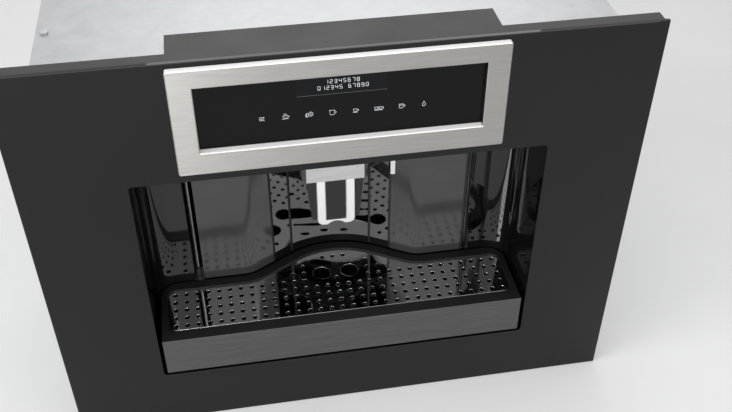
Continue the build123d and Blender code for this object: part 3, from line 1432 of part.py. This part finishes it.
with BuildPart() as side_panel_right:
    add(side_panel_left.part.mirror(Plane.YZ))
side_panel_right.part.label = "side_panel_right"
export_step(side_panel_right.part, "parts/side_panel_right.step")

rear_sheet_back = rear_sheet_front + sheet
with BuildPart() as rear_panel:
    box(-housing_half, housing_half, rear_sheet_front, rear_sheet_back, housing_floor,
        housing_top - sheet)
    for rib_x in (-emboss_spread, emboss_spread):
        box(rib_x - emboss_half, rib_x + emboss_half, rear_sheet_front, housing_rear,
            housing_floor + emboss_gap, housing_top - emboss_gap)
    with BuildSketch(face(rear_sheet_front - cut_past)):
        with Locations((0, bay_roof)):
            with GridLocations(0, rear_vent_pitch, 1, 8):
                Rectangle(2 * rear_vent_half, rear_vent_height)
        with Locations((inlet_x, inlet_height)):
            Rectangle(inlet_width - 2 * inlet_wall + 1.0, inlet_tall - 2 * inlet_flange + 1.0)
    extrude(amount=-(sheet + rear_emboss + 2 * cut_past), mode=Mode.SUBTRACT)
rear_panel.part.label = "rear_panel"
export_step(rear_panel.part, "parts/rear_panel.step")

with BuildPart() as top_cover:
    box(-housing_half, housing_half, housing_front, rear_sheet_back, housing_top - sheet, housing_top)
    for x0, x1, front, rear in (
            (-box_half - seat_gap, box_half + seat_gap, 0, box_rear + cradle_wall),
            (hopper_left - lid_gap, hopper_right + lid_gap, hopper_front - lid_gap,
             hopper_rear + lid_gap),
            (chute_left - 3 * lid_gap, chute_right + 3 * lid_gap, chute_front - 3 * lid_gap,
             chute_rear + 3 * lid_gap),
            (tank_left - 2 * lid_gap, tank_right + 2 * lid_gap, tank_front - 2 * lid_gap,
             tank_rear + 2 * lid_gap)):
        box(x0, x1, front, rear, housing_top - sheet - cut_past, housing_top + cut_past, Mode.SUBTRACT)
    for x0, x1, bin_rear, hinge_at in ((hopper_left, hopper_right, hopper_rear, bean_hinge),
                                       (chute_left, chute_right, chute_rear, flap_hinge)):
        hinge_notches(x0, x1, bin_rear, hinge_at)
        hinge_lug(x0, x1, hinge_at)
top_cover.part.label = "top_cover"
export_step(top_cover.part, "parts/top_cover.step")

screw_x = housing_half - screw_inset
screw_front = box_rear + screw_front_gap
screw_rear = rear_sheet_front - 2 * screw_inset
with BuildPart() as case_screws:
    with BuildSketch(plan(housing_top)) as lid_heads:
        with Locations((0, (screw_front + screw_rear) / 2)):
            with GridLocations(2 * screw_x, screw_rear - screw_front, 2, 2):
                RegularPolygon(screw_radius, 6)
    extrude(lid_heads.sketch, amount=screw_height)
    with BuildSketch(face(rear_sheet_back)) as rear_heads:
        with Locations((0, (housing_floor + housing_top) / 2)):
            with GridLocations(screw_x, housing_top - housing_floor - 4 * screw_inset, 3, 2):
                RegularPolygon(screw_radius, 6)
    extrude(rear_heads.sketch, amount=-screw_height)
case_screws.part.label = "case_screws"
export_step(case_screws.part, "parts/case_screws.step")

# ================================================================ telescopic rails
def channel(web, lips, low, high):
    """Folded rail: an upright web with a lip along its top and its bottom edge."""
    box(min(web, web + rail_sheet), max(web, web + rail_sheet), rail_front, rail_rear, low, high)
    for lip_z in (low, high - rail_sheet):
        box(min(web, lips), max(web, lips), rail_front, rail_rear, lip_z, lip_z + rail_sheet)


with BuildPart() as rail_outer_left:
    channel(-niche_half, -rail_lip, rail_foot, rail_top)
    box(-niche_half, -niche_half + rail_sheet, rail_front, rail_rear, 0, rail_foot + rail_sheet)
    box(-niche_half, -niche_half + foot_width, rail_front, rail_rear, 0, rail_sheet)
    with BuildSketch(plan(-cut_past)) as foot_holes:
        with Locations((-niche_half + foot_width / 2, rail_middle)):
            with GridLocations(foot_width, foot_screw_pitch, 1, 2):
                Circle(foot_screw_radius)
    extrude(foot_holes.sketch, amount=rail_sheet + 2 * cut_past, mode=Mode.SUBTRACT)
rail_outer_left.part.label = "rail_outer_left"
export_step(rail_outer_left.part, "parts/rail_outer_left.step")

with BuildPart() as rail_middle_left:
    channel(-niche_half + rail_step, -rail_lip, rail_foot + rail_step, rail_top - rail_step)
rail_middle_left.part.label = "rail_middle_left"
export_step(rail_middle_left.part, "parts/rail_middle_left.step")

with BuildPart() as rail_inner_left:
    channel(-housing_half - rail_sheet, -niche_half + 2 * rail_step, rail_foot + 2 * rail_step,
            rail_top - 2 * rail_step)
rail_inner_left.part.label = "rail_inner_left"
export_step(rail_inner_left.part, "parts/rail_inner_left.step")

with BuildPart() as rail_outer_right:
    add(rail_outer_left.part.mirror(Plane.YZ))
rail_outer_right.part.label = "rail_outer_right"
export_step(rail_outer_right.part, "parts/rail_outer_right.step")

with BuildPart() as rail_middle_right:
    add(rail_middle_left.part.mirror(Plane.YZ))
rail_middle_right.part.label = "rail_middle_right"
export_step(rail_middle_right.part, "parts/rail_middle_right.step")

with BuildPart() as rail_inner_right:
    add(rail_inner_left.part.mirror(Plane.YZ))
rail_inner_right.part.label = "rail_inner_right"
export_step(rail_inner_right.part, "parts/rail_inner_right.step")
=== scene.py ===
"""Looks of the built-in coffee machine. Lengths are in metres, the glass front lies at Y = glass_y."""
import json
import math

import bpy
from mathutils import Matrix, Vector


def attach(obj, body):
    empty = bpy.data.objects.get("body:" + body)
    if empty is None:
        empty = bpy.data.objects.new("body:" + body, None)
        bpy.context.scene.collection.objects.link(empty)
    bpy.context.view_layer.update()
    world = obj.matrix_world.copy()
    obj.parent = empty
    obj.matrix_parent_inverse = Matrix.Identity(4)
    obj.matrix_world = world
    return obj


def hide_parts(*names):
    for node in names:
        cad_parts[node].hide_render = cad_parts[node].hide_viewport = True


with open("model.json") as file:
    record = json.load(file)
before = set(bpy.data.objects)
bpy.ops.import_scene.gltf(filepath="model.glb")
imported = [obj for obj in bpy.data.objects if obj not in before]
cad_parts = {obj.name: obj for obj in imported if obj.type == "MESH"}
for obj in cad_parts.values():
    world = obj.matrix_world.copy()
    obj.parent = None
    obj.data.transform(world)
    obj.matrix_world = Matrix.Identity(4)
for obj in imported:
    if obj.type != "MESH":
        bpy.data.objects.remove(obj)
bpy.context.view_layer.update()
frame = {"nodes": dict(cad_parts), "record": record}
nodes = frame["nodes"]
MM = 0.001
glass_y = -0.193


# ---------------------------------------------------------------- materials

noise_low, noise_high = 0.3, 0.7
plastic_ior, glass_ior = 1.5, 1.52
smear_tint, smear_rough = 1.15, 1.8
glow_dip = 0.9


class Maker:
    """Builds one node material around a Principled shader."""

    def __init__(self, name):
        self.material = bpy.data.materials.new(name)
        self.material.use_nodes = True
        self.tree = self.material.node_tree
        self.shader = self.tree.nodes["Principled BSDF"]
        self.place = self.add("ShaderNodeTexCoord")

    def add(self, kind):
        return self.tree.nodes.new(kind)

    def join(self, a, b):
        self.tree.links.new(a, b)

    def noise(self, scale, stretch=(1, 1, 1), detail=3.0):
        mapping = self.add("ShaderNodeMapping")
        mapping.inputs["Scale"].default_value = stretch
        self.join(self.place.outputs["Object"], mapping.inputs["Vector"])
        noise = self.add("ShaderNodeTexNoise")
        noise.inputs["Scale"].default_value = scale
        noise.inputs["Detail"].default_value = detail
        noise.inputs["Roughness"].default_value = 0.55
        self.join(mapping.outputs["Vector"], noise.inputs["Vector"])
        return noise.outputs["Fac"]

    def remap(self, value, old, new):
        """Maps one range of values onto another."""
        scaled = self.add("ShaderNodeMapRange")
        scaled.inputs["From Min"].default_value, scaled.inputs["From Max"].default_value = old
        scaled.inputs["To Min"].default_value, scaled.inputs["To Max"].default_value = new
        self.join(value, scaled.inputs["Value"])
        return scaled.outputs["Result"]

    def ramp(self, value, low, high):
        """Maps the middle of a noise value onto a range."""
        return self.remap(value, (noise_low, noise_high), (low, high))

    def mix(self, factor, first):
        """Colour mix that starts from the first colour; the caller sets the second."""
        mixed = self.add("ShaderNodeMix")
        mixed.data_type = "RGBA"
        mixed.inputs["A"].default_value = (*first, 1)
        self.join(factor, mixed.inputs["Factor"])
        self.join(mixed.outputs["Result"], self.shader.inputs["Base Color"])
        return mixed

    def tint(self, value, dark, light):
        mixed = self.mix(self.ramp(value, 0, 1), dark)
        mixed.inputs["B"].default_value = (*light, 1)
        return mixed.outputs["Result"]

    def bump(self, value, height):
        bump = self.add("ShaderNodeBump")
        bump.inputs["Strength"].default_value = 1.0
        bump.inputs["Distance"].default_value = height
        self.join(value, bump.inputs["Height"])
        self.join(bump.outputs["Normal"], self.shader.inputs["Normal"])

    def roughness(self, value, low, high):
        self.join(self.ramp(value, low, high), self.shader.inputs["Roughness"])


def grey(level):
    return (level, level, level)


def metal(name, dark, light, rough, grain=(1, 1, 1), scale=400.0, height=0.00001, share=1.0):
    """Metal with a fine grain, drawn out along the axis with the small stretch value."""
    made = Maker(name)
    made.shader.inputs["Metallic"].default_value = share
    lines = made.noise(scale, grain, 2.0)
    made.tint(lines, dark, light)
    made.roughness(lines, *rough)
    made.bump(lines, height)
    return made.material


def plastic(name, dark, light, rough, scale=900.0, height=0.00001):
    """Moulded plastic with a fine grain and broad patches of changing gloss."""
    made = Maker(name)
    made.shader.inputs["IOR"].default_value = plastic_ior
    grain = made.noise(scale, detail=2.0)
    made.tint(grain, dark, light)
    made.roughness(made.noise(14.0), *rough)
    made.bump(grain, height)
    return made.material


def glass(name, tint, rough=0.02, clear=0.0, gleam=0.5):
    """Glass with faint smears; clear is the share of light that passes through."""
    made = Maker(name)
    made.shader.inputs["IOR"].default_value = glass_ior
    made.shader.inputs["Specular IOR Level"].default_value = gleam
    made.shader.inputs["Transmission Weight"].default_value = clear
    smears = made.noise(9.0, (1, 1, 2.5), 4.0)
    made.tint(smears, tint, tuple(c * smear_tint for c in tint))
    made.roughness(smears, rough, rough * smear_rough)
    return made.material


def glowing(name, colour, strength):
    made = Maker(name)
    made.shader.inputs["Emission Color"].default_value = (*colour, 1)
    made.shader.inputs["Emission Strength"].default_value = strength
    made.tint(made.noise(300.0), tuple(c * glow_dip for c in colour), colour)
    return made.material


def brushed_frame(name):
    """Steel brushed along X. Its upward faces carry a painted highlight: a pale, non-metallic colour
    that stands in for light falling on them from above.
    """
    made = Maker(name)
    shader = made.shader
    lines = made.noise(900.0, (0.025, 1, 1), 2.0)
    steel = made.tint(lines, (0.36, 0.356, 0.34), (0.43, 0.424, 0.402))
    made.roughness(lines, 0.34, 0.42)
    made.bump(lines, 0.000005)
    along = made.add("ShaderNodeTangent")
    along.direction_type = "RADIAL"
    along.axis = "Z"
    made.join(along.outputs["Tangent"], shader.inputs["Tangent"])
    shader.inputs["Anisotropic"].default_value = 0.8
    shader.inputs["Anisotropic Rotation"].default_value = 0.25
    shape = made.add("ShaderNodeNewGeometry")
    split = made.add("ShaderNodeSeparateXYZ")
    made.join(shape.outputs["True Normal"], split.inputs["Vector"])
    # Painted highlight: faces whose normal points up lose their metal and take a pale colour in place
    # of lit steel.
    side_face = made.remap(split.outputs["Z"], (0.7, 0.6), (0, 1))
    made.join(side_face, shader.inputs["Metallic"])
    painted_top_highlight = made.mix(side_face, (0.88, 0.875, 0.86))
    made.join(steel, painted_top_highlight.inputs["B"])
    return made.material


even = (1, 1, 1)
along_x, along_y = (0.03, 1, 1), (1, 0.03, 1)
finishes = {
    "black_glass": glass("black_glass", (0.003, 0.003, 0.0033), gleam=0.3),
    "display_glass": glass("display_glass", (0.003, 0.003, 0.003), gleam=0.14),
    "brushed_frame": brushed_frame("brushed_frame"),
    "gloss_black": plastic("gloss_black", grey(0.004), grey(0.006), (0.05, 0.09), 500.0, 0.000001),
    "black_plastic": plastic("black_plastic", grey(0.012), grey(0.02), (0.42, 0.55)),
    "grey_plastic": plastic("grey_plastic", grey(0.11), grey(0.14), (0.45, 0.6)),
    "satin_steel": metal("satin_steel", grey(0.11), grey(0.14), (0.3, 0.36), along_x, 900.0,
                         0.000004),
    "spout_steel": metal("spout_steel", grey(0.55), grey(0.64), (0.28, 0.34), along_x, 900.0,
                         0.000004),
    "bright_cover": metal("bright_cover", grey(0.97), grey(1.0), (0.3, 0.34), even, 60.0, 0.0),
    "door_steel": metal("door_steel", grey(0.065), grey(0.075), (0.12, 0.14), even, 30.0, 0.0, 0.3),
    "dark_rod": metal("dark_rod", grey(0.2), grey(0.26), (0.2, 0.3), (1, 1, 0.1)),
    "polished_steel": metal("polished_steel", grey(0.12), grey(0.14), (0.03, 0.05), even, 30.0, 0.0),
    "plate_steel": metal("plate_steel", grey(0.84), grey(0.88), (0.03, 0.05), even, 30.0, 0.0),
    "chrome": metal("chrome", grey(0.82), grey(0.88), (0.06, 0.12), even, 60.0, 0.0),
    "rim_rubber": plastic("rim_rubber", grey(0.005), grey(0.008), (0.45, 0.55), 700.0),
    # Painted highlight: pale metal for the bead on the tray rim's inner edge, much lighter than the
    # black rim it sits on.
    "edge_gleam": metal("edge_gleam", grey(0.3), grey(0.36), (0.2, 0.26), even, 60.0, 0.0),
    "galvanised": metal("galvanised", (0.44, 0.45, 0.46), (0.5, 0.51, 0.52), (0.38, 0.46), even,
                        60.0),
    "zinc_rail": metal("zinc_rail", grey(0.5), grey(0.62), (0.3, 0.4), along_y, 700.0),
    "clear_tank": glass("clear_tank", (0.8, 0.86, 0.88), 0.05, 0.9),
    "smoked_hopper": glass("smoked_hopper", (0.25, 0.2, 0.16), 0.05, 0.7),
    "circuit_board": plastic("circuit_board", (0.01, 0.09, 0.035), (0.015, 0.14, 0.05), (0.35, 0.5),
                             250.0),
    "cast_aluminium": metal("cast_aluminium", grey(0.45), grey(0.6), (0.4, 0.55), even, 350.0,
                            0.00004),
    "burr_steel": metal("burr_steel", grey(0.4), grey(0.5), (0.25, 0.35), (1, 1, 0.2), 500.0),
    "copper_brown": metal("copper_brown", (0.2, 0.13, 0.09), (0.3, 0.2, 0.14), (0.35, 0.5),
                          (1, 1, 20), 60.0),
}
key_light = glowing("key_light", (0.85, 0.87, 0.9), 0.75)
edge_glow = glowing("edge_glow", (0.16, 0.165, 0.17), 0.1)
pane_glow = glass("pane_glow", (0.0045, 0.005, 0.0058), gleam=0.14)

for subpart in frame["record"]["subparts"]:
    mesh = nodes[subpart["node"]].data
    mesh.materials.clear()
    mesh.materials.append(finishes[subpart["material_slot"]])

# ---------------------------------------------------------------- perforated cup plate

plate_top = 0.121
plate_thickness = 0.0015
plate_half = 0.188
plate_front = 0.015
plate_gap = 0.0005
plate_rear = 0.076
plate_corner = 0.010
plate_setback = 0.013
recess_radius = 0.094
recess_centre = 0.03453
recess_slope = 30
shoulder_x = 0.1017
shoulder_radius = 0.030
shoulder_centre = 0.119
hole_pitch = 0.012
row_pitch = 0.0118
first_row = 0.0225
outer_column = 15
full_rows = 4
hole_radius = 0.0025
hole_corners = 24
edge_round = 0.0002
finger_radius = 0.010
finger_corners = 48
finger_places = ((-0.016, 0.0788), (0.016, 0.0788))
rim_top = 0.123
edge_bead = 0.0004
corner_steps, shoulder_steps, recess_steps = 8, 16, 20


def ring(cx, cz, rx, rz, start=0, end=360, steps=20):
    """Points on an ellipse, angles in degrees from its first axis."""
    angles = [math.radians(start + (end - start) * i / steps) for i in range(steps + 1)]
    return [(cx + rx * math.cos(a), cz + rz * math.sin(a)) for a in angles]


def arc(centre, radius, start, end, steps):
    """Points on a circle, angles in degrees from +X."""
    return ring(*centre, radius, radius, start, end, steps)


def circle(centre, radius, count):
    """Points of a closed circle, the first one not repeated."""
    return arc(centre, radius, 0, 360 - 360 / count, count - 1)


def plate_outline():
    """Outline of the plate, with the bulge that follows the door's recess."""
    inner = recess_radius - plate_setback
    outer = shoulder_radius + plate_setback
    corner_x = plate_half - plate_corner
    right = arc((corner_x, plate_front + plate_gap + plate_corner), plate_corner, -90, 0,
                corner_steps)
    right += arc((corner_x, plate_rear - plate_corner), plate_corner, 0, 90, corner_steps)
    right += arc((shoulder_x, shoulder_centre), outer, 270, 270 - recess_slope, shoulder_steps)
    right += arc((0, recess_centre), inner, 90 - recess_slope, 90, recess_steps)
    left = [(-x, y) for x, y in reversed(right[:-1])]
    return right + left


def plate_holes():
    """Centres of the small holes: whole rows in front, fewer round and behind the finger holes."""
    columns = range(-outer_column, outer_column + 1)
    places = [(c, r) for r in range(full_rows) for c in columns]
    places += [(c, full_rows) for c in columns if abs(c) not in (1, 2)]
    bulge_rows = {5: (-4, -3, 3, 4), 6: (-3, 0, 3), 7: (-1, 0, 1)}
    places += [(c, r) for r, picked in bulge_rows.items() for c in picked]
    return [(c * hole_pitch, first_row + r * row_pitch) for c, r in places]


def add_line(curve, points, closed):
    spline = curve.splines.new("POLY")
    spline.points.add(len(points) - 1)
    for point, place in zip(spline.points, points):
        point.co = (*place, 1)
    spline.use_cyclic_u = closed


def new_curve(name, dimensions, bevel, resolution, material, place=(0, 0, 0)):
    """Empty curve with its object, material and bevel."""
    curve = bpy.data.curves.new(name, "CURVE")
    curve.dimensions = dimensions
    curve.bevel_depth = bevel
    curve.bevel_resolution = resolution
    curve.materials.append(material)
    made = bpy.data.objects.new(name, curve)
    made.location = place
    bpy.context.scene.collection.objects.link(made)
    return made


def flat(points):
    return [(x, y, 0) for x, y in points]


plate = new_curve("cup_plate_sheet", "2D", edge_round, 2, finishes["plate_steel"],
                  (0, glass_y, plate_top - plate_thickness / 2))
plate.data.fill_mode = "BOTH"
plate.data.offset = -edge_round
plate.data.extrude = plate_thickness / 2 - edge_round
add_line(plate.data, flat(plate_outline()), True)
for place in plate_holes():
    add_line(plate.data, flat(circle(place, hole_radius, hole_corners)), True)
for place in finger_places:
    add_line(plate.data, flat(circle(place, finger_radius, finger_corners)), True)
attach(plate, "cup_plate")
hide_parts("cup_plate")

# Rounded inner edge of the tray's front rim, made as a bead of pale metal on the black rim: a painted
# highlight that shows as a thin light line before the plate.
rim_corner = (plate_half - plate_corner, plate_front + plate_corner)
rim_line = arc((-rim_corner[0], rim_corner[1]), plate_corner, 180, 270, corner_steps)
rim_line += arc(rim_corner, plate_corner, 270, 360, corner_steps)
rim_edge_highlight = new_curve("rim_edge_highlight", "3D", edge_bead, 2, finishes["edge_gleam"], (0, glass_y, rim_top))
rim_edge_highlight.data.use_fill_caps = True
add_line(rim_edge_highlight.data, flat(rim_line), False)
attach(rim_edge_highlight, "drip_tray")

# ---------------------------------------------------------------- touch keys and display

display_face = glass_y + 0.001
key_y = display_face - 0.0001
key_row = 0.3905
first_key, key_pitch, key_count = -72.5, 21.0, 8
key_places = [(first_key + key_pitch * i) * MM for i in range(key_count)]
stroke = 0.00022
figure_stroke = 0.00024


def cup(cx, width, height):
    """Bowl of a cup seen from the side, with its handle; millimetres round the key's centre."""
    half, foot_half = width / 2, width / 2 * 0.75
    bowl = [(cx - half, height / 2), (cx - foot_half, -height / 2), (cx + foot_half, -height / 2),
            (cx + half, height / 2), (cx - half, height / 2)]
    return [bowl, ring(cx + half + 0.4, 0.2, 0.9, height * 0.28, -90, 90, 8)]


def steam(cx, foot):
    return [(cx + 0.35 * math.sin(i * 1.3), foot + i * 0.35) for i in range(6)]


# One list of lines for each key, in millimetres round its centre.
pictures = [
    [[(-2.4, 1.6), (2.4, 1.6)], [(-2.4, 0), (2.4, 0)], [(-2.4, -1.6), (2.4, -1.6)]],
    cup(0, 4.2, 2.4) + [[(-2.9, -2.1), (2.9, -2.1)], steam(-0.8, 1.7), steam(0.8, 1.7)],
    [ring(-1.7, -0.6, 1.3, 1.9), ring(-1.7, -0.6, 0.35, 1.9, 90, 270, 8), ring(1.8, 0.4, 1.9, 2.2),
     [(1.1, 0.4), (2.5, 0.4)], [(1.8, -0.3), (1.8, 1.1)]],
    cup(0, 4.6, 4.8),
    cup(0, 3.4, 2.8) + [[(-2.2, -2.1), (2.2, -2.1)]],
    cup(-2.0, 3.0, 2.6) + cup(2.0, 3.0, 2.6) + [[(-3.9, -2.0), (4.2, -2.0)]],
    cup(0, 4.0, 4.2) + [[(-1.6, 0.9), (1.4, 0.9)]],
    [[(0, 2.9), (-0.8, 1.2)] + ring(0, -0.6, 1.55, 1.55, 130, 410, 20) + [(0.8, 1.2), (0, 2.9)]],
]


def drawing(name, lines, centre, thickness=stroke):
    """Thin glowing lines on the face of the display glass."""
    made = new_curve(name, "3D", thickness / 2, 1, key_light)
    for line in lines:
        points = [(centre[0] + x * MM, key_y, centre[1] + z * MM) for x, z in line]
        add_line(made.data, points, False)
    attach(made, "machine")


for number, (picture, place) in enumerate(zip(pictures, key_places)):
    drawing(f"touch_key_{number + 1}", picture, (place, key_row))

# Figures of seven strokes, in millimetres.
wide, tall = 2.1, 3.6
segments = {
    "a": ((0, tall), (wide, tall)), "b": ((wide, tall), (wide, tall / 2)),
    "c": ((wide, tall / 2), (wide, 0)), "d": ((0, 0), (wide, 0)), "e": ((0, tall / 2), (0, 0)),
    "f": ((0, tall), (0, tall / 2)), "g": ((0, tall / 2), (wide, tall / 2)),
}
figures = {"0": "abcdef", "1": "bc", "2": "abged", "3": "abgcd", "4": "fgbc", "5": "afgcd",
           "6": "afgedc", "7": "abc", "8": "abcdefg", "9": "abcfgd"}
figure_shift = 1


def number_lines(text, pitch):
    """Strokes of a row of figures about its middle; a blank draws nothing."""
    left = -(len(text) - 1) * pitch / 2 - figure_shift
    lines = []
    for place, figure in enumerate(text):
        for segment in figures.get(figure, ""):
            lines.append([(left + place * pitch + x, z - tall / 2) for x, z in segments[segment]])
    return lines


drawing("display_line_1", number_lines("12345678", 4.0), (0.0003, 0.4231), figure_stroke)
drawing("display_line_2", number_lines("012345 67890", 3.9), (0.0008, 0.4170), figure_stroke)


def film(name, low, high, thickness, material):
    """Thin closed film on the face of the display glass."""
    points = [(x, y, z) for x in (-pane_half, pane_half)
              for y in (display_face - thickness, display_face) for z in (low, high)]
    mesh = bpy.data.meshes.new(name)
    mesh.from_pydata(points, [], [(0, 1, 3, 2), (4, 6, 7, 5), (0, 4, 5, 1), (2, 3, 7, 6),
                                  (0, 2, 6, 4), (1, 5, 7, 3)])
    mesh.materials.append(material)
    made = bpy.data.objects.new(name, mesh)
    bpy.context.scene.collection.objects.link(made)
    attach(made, "machine")


pane_half = 0.0405
pane_low, pane_high = 0.4102, 0.4305
pane_thickness, pane_edge_thickness = 0.00003, 0.00006
film("display_pane", pane_low, pane_high, pane_thickness, pane_glow)
film("display_pane_edge", pane_low - stroke, pane_low, pane_edge_thickness, edge_glow)

# ---------------------------------------------------------------- camera, light and floor

focal_pixels = 956.1
picture_width = 732
camera_place = (-0.1015, glass_y - 0.7062, 0.8701)
look = Vector((0.13207, 0.75988, -0.63650))
right = Vector((0.98546, -0.16987, 0.00168))
up = Vector((0.10685, 0.62747, 0.77127))

camera_data = bpy.data.cameras.new("camera")
camera_data.sensor_width = 36.0
camera_data.lens = focal_pixels / picture_width * camera_data.sensor_width
camera_data.clip_start = 0.01
camera_data.dof.use_dof = False
camera = bpy.data.objects.new("camera", camera_data)
bpy.context.scene.collection.objects.link(camera)
camera.matrix_world = Matrix.Translation(camera_place) @ Matrix(
    (right, up, -look)).transposed().to_4x4()
bpy.context.scene.camera = camera


def area_light(name, place, target, width, height, power):
    """White rectangular lamp that faces its target; power in watts."""
    data = bpy.data.lights.new(name, "AREA")
    data.shape = "RECTANGLE"
    data.size, data.size_y = width, height
    data.energy = power
    lamp = bpy.data.objects.new(name, data)
    lamp.location = place
    lamp.rotation_mode = "QUATERNION"
    lamp.rotation_quaternion = (Vector(target) - Vector(place)).to_track_quat("-Z", "Y")
    bpy.context.scene.collection.objects.link(lamp)


area_light("key_lamp", (-2.5, -0.9, 1.8), (-0.2, -0.4, 0.1), 1.6, 1.4, 30)
area_light("front_lamp", (-0.5, -2.1, 0.5), (-0.1, -0.2, 0.35), 0.5, 0.5, 13)
area_light("top_lamp", (0.0, -0.75, 2.4), (0, -0.3, 0.2), 2.6, 1.8, 28)
area_light("side_lamp", (2.2, -0.9, 1.0), (0, 0, 0.2), 0.8, 1.4, 4)
area_light("back_lamp", (0.35, 2.2, 2.3), (0, 0, 0.2), 1.6, 1.0, 10)

floor_half = 4.0
floor_maker = Maker("floor")
floor_maker.tint(floor_maker.noise(3.0), grey(0.72), grey(0.76))
floor_maker.shader.inputs["Roughness"].default_value = 0.9
floor_mesh = bpy.data.meshes.new("floor")
floor_mesh.from_pydata([(-floor_half, -floor_half, 0), (floor_half, -floor_half, 0),
                        (floor_half, floor_half, 0), (-floor_half, floor_half, 0)],
                       [], [(0, 1, 2, 3)])
floor_mesh.materials.append(floor_maker.material)
floor = bpy.data.objects.new("floor", floor_mesh)
bpy.context.scene.collection.objects.link(floor)

# The room lights with one grey and is seen, mirrored and looked through as a paler one.
room_light, room_seen = 0.5, 0.93
world = bpy.data.worlds.new("studio")
bpy.context.scene.world = world
world.use_nodes = True
sky = world.node_tree
path = sky.nodes.new("ShaderNodeLightPath")
seen = path.outputs["Is Camera Ray"]
for ray in ("Is Glossy Ray", "Is Transmission Ray"):
    either = sky.nodes.new("ShaderNodeMath")
    either.operation = "MAXIMUM"
    sky.links.new(seen, either.inputs[0])
    sky.links.new(path.outputs[ray], either.inputs[1])
    seen = either.outputs["Value"]
blend = sky.nodes.new("ShaderNodeMix")
blend.data_type = "RGBA"
blend.inputs["A"].default_value = (*grey(room_light), 1)
blend.inputs["B"].default_value = (*grey(room_seen), 1)
sky.links.new(seen, blend.inputs["Factor"])
sky.links.new(blend.outputs["Result"], sky.nodes["Background"].inputs["Color"])
bpy.context.scene.view_settings.view_transform = "Standard"
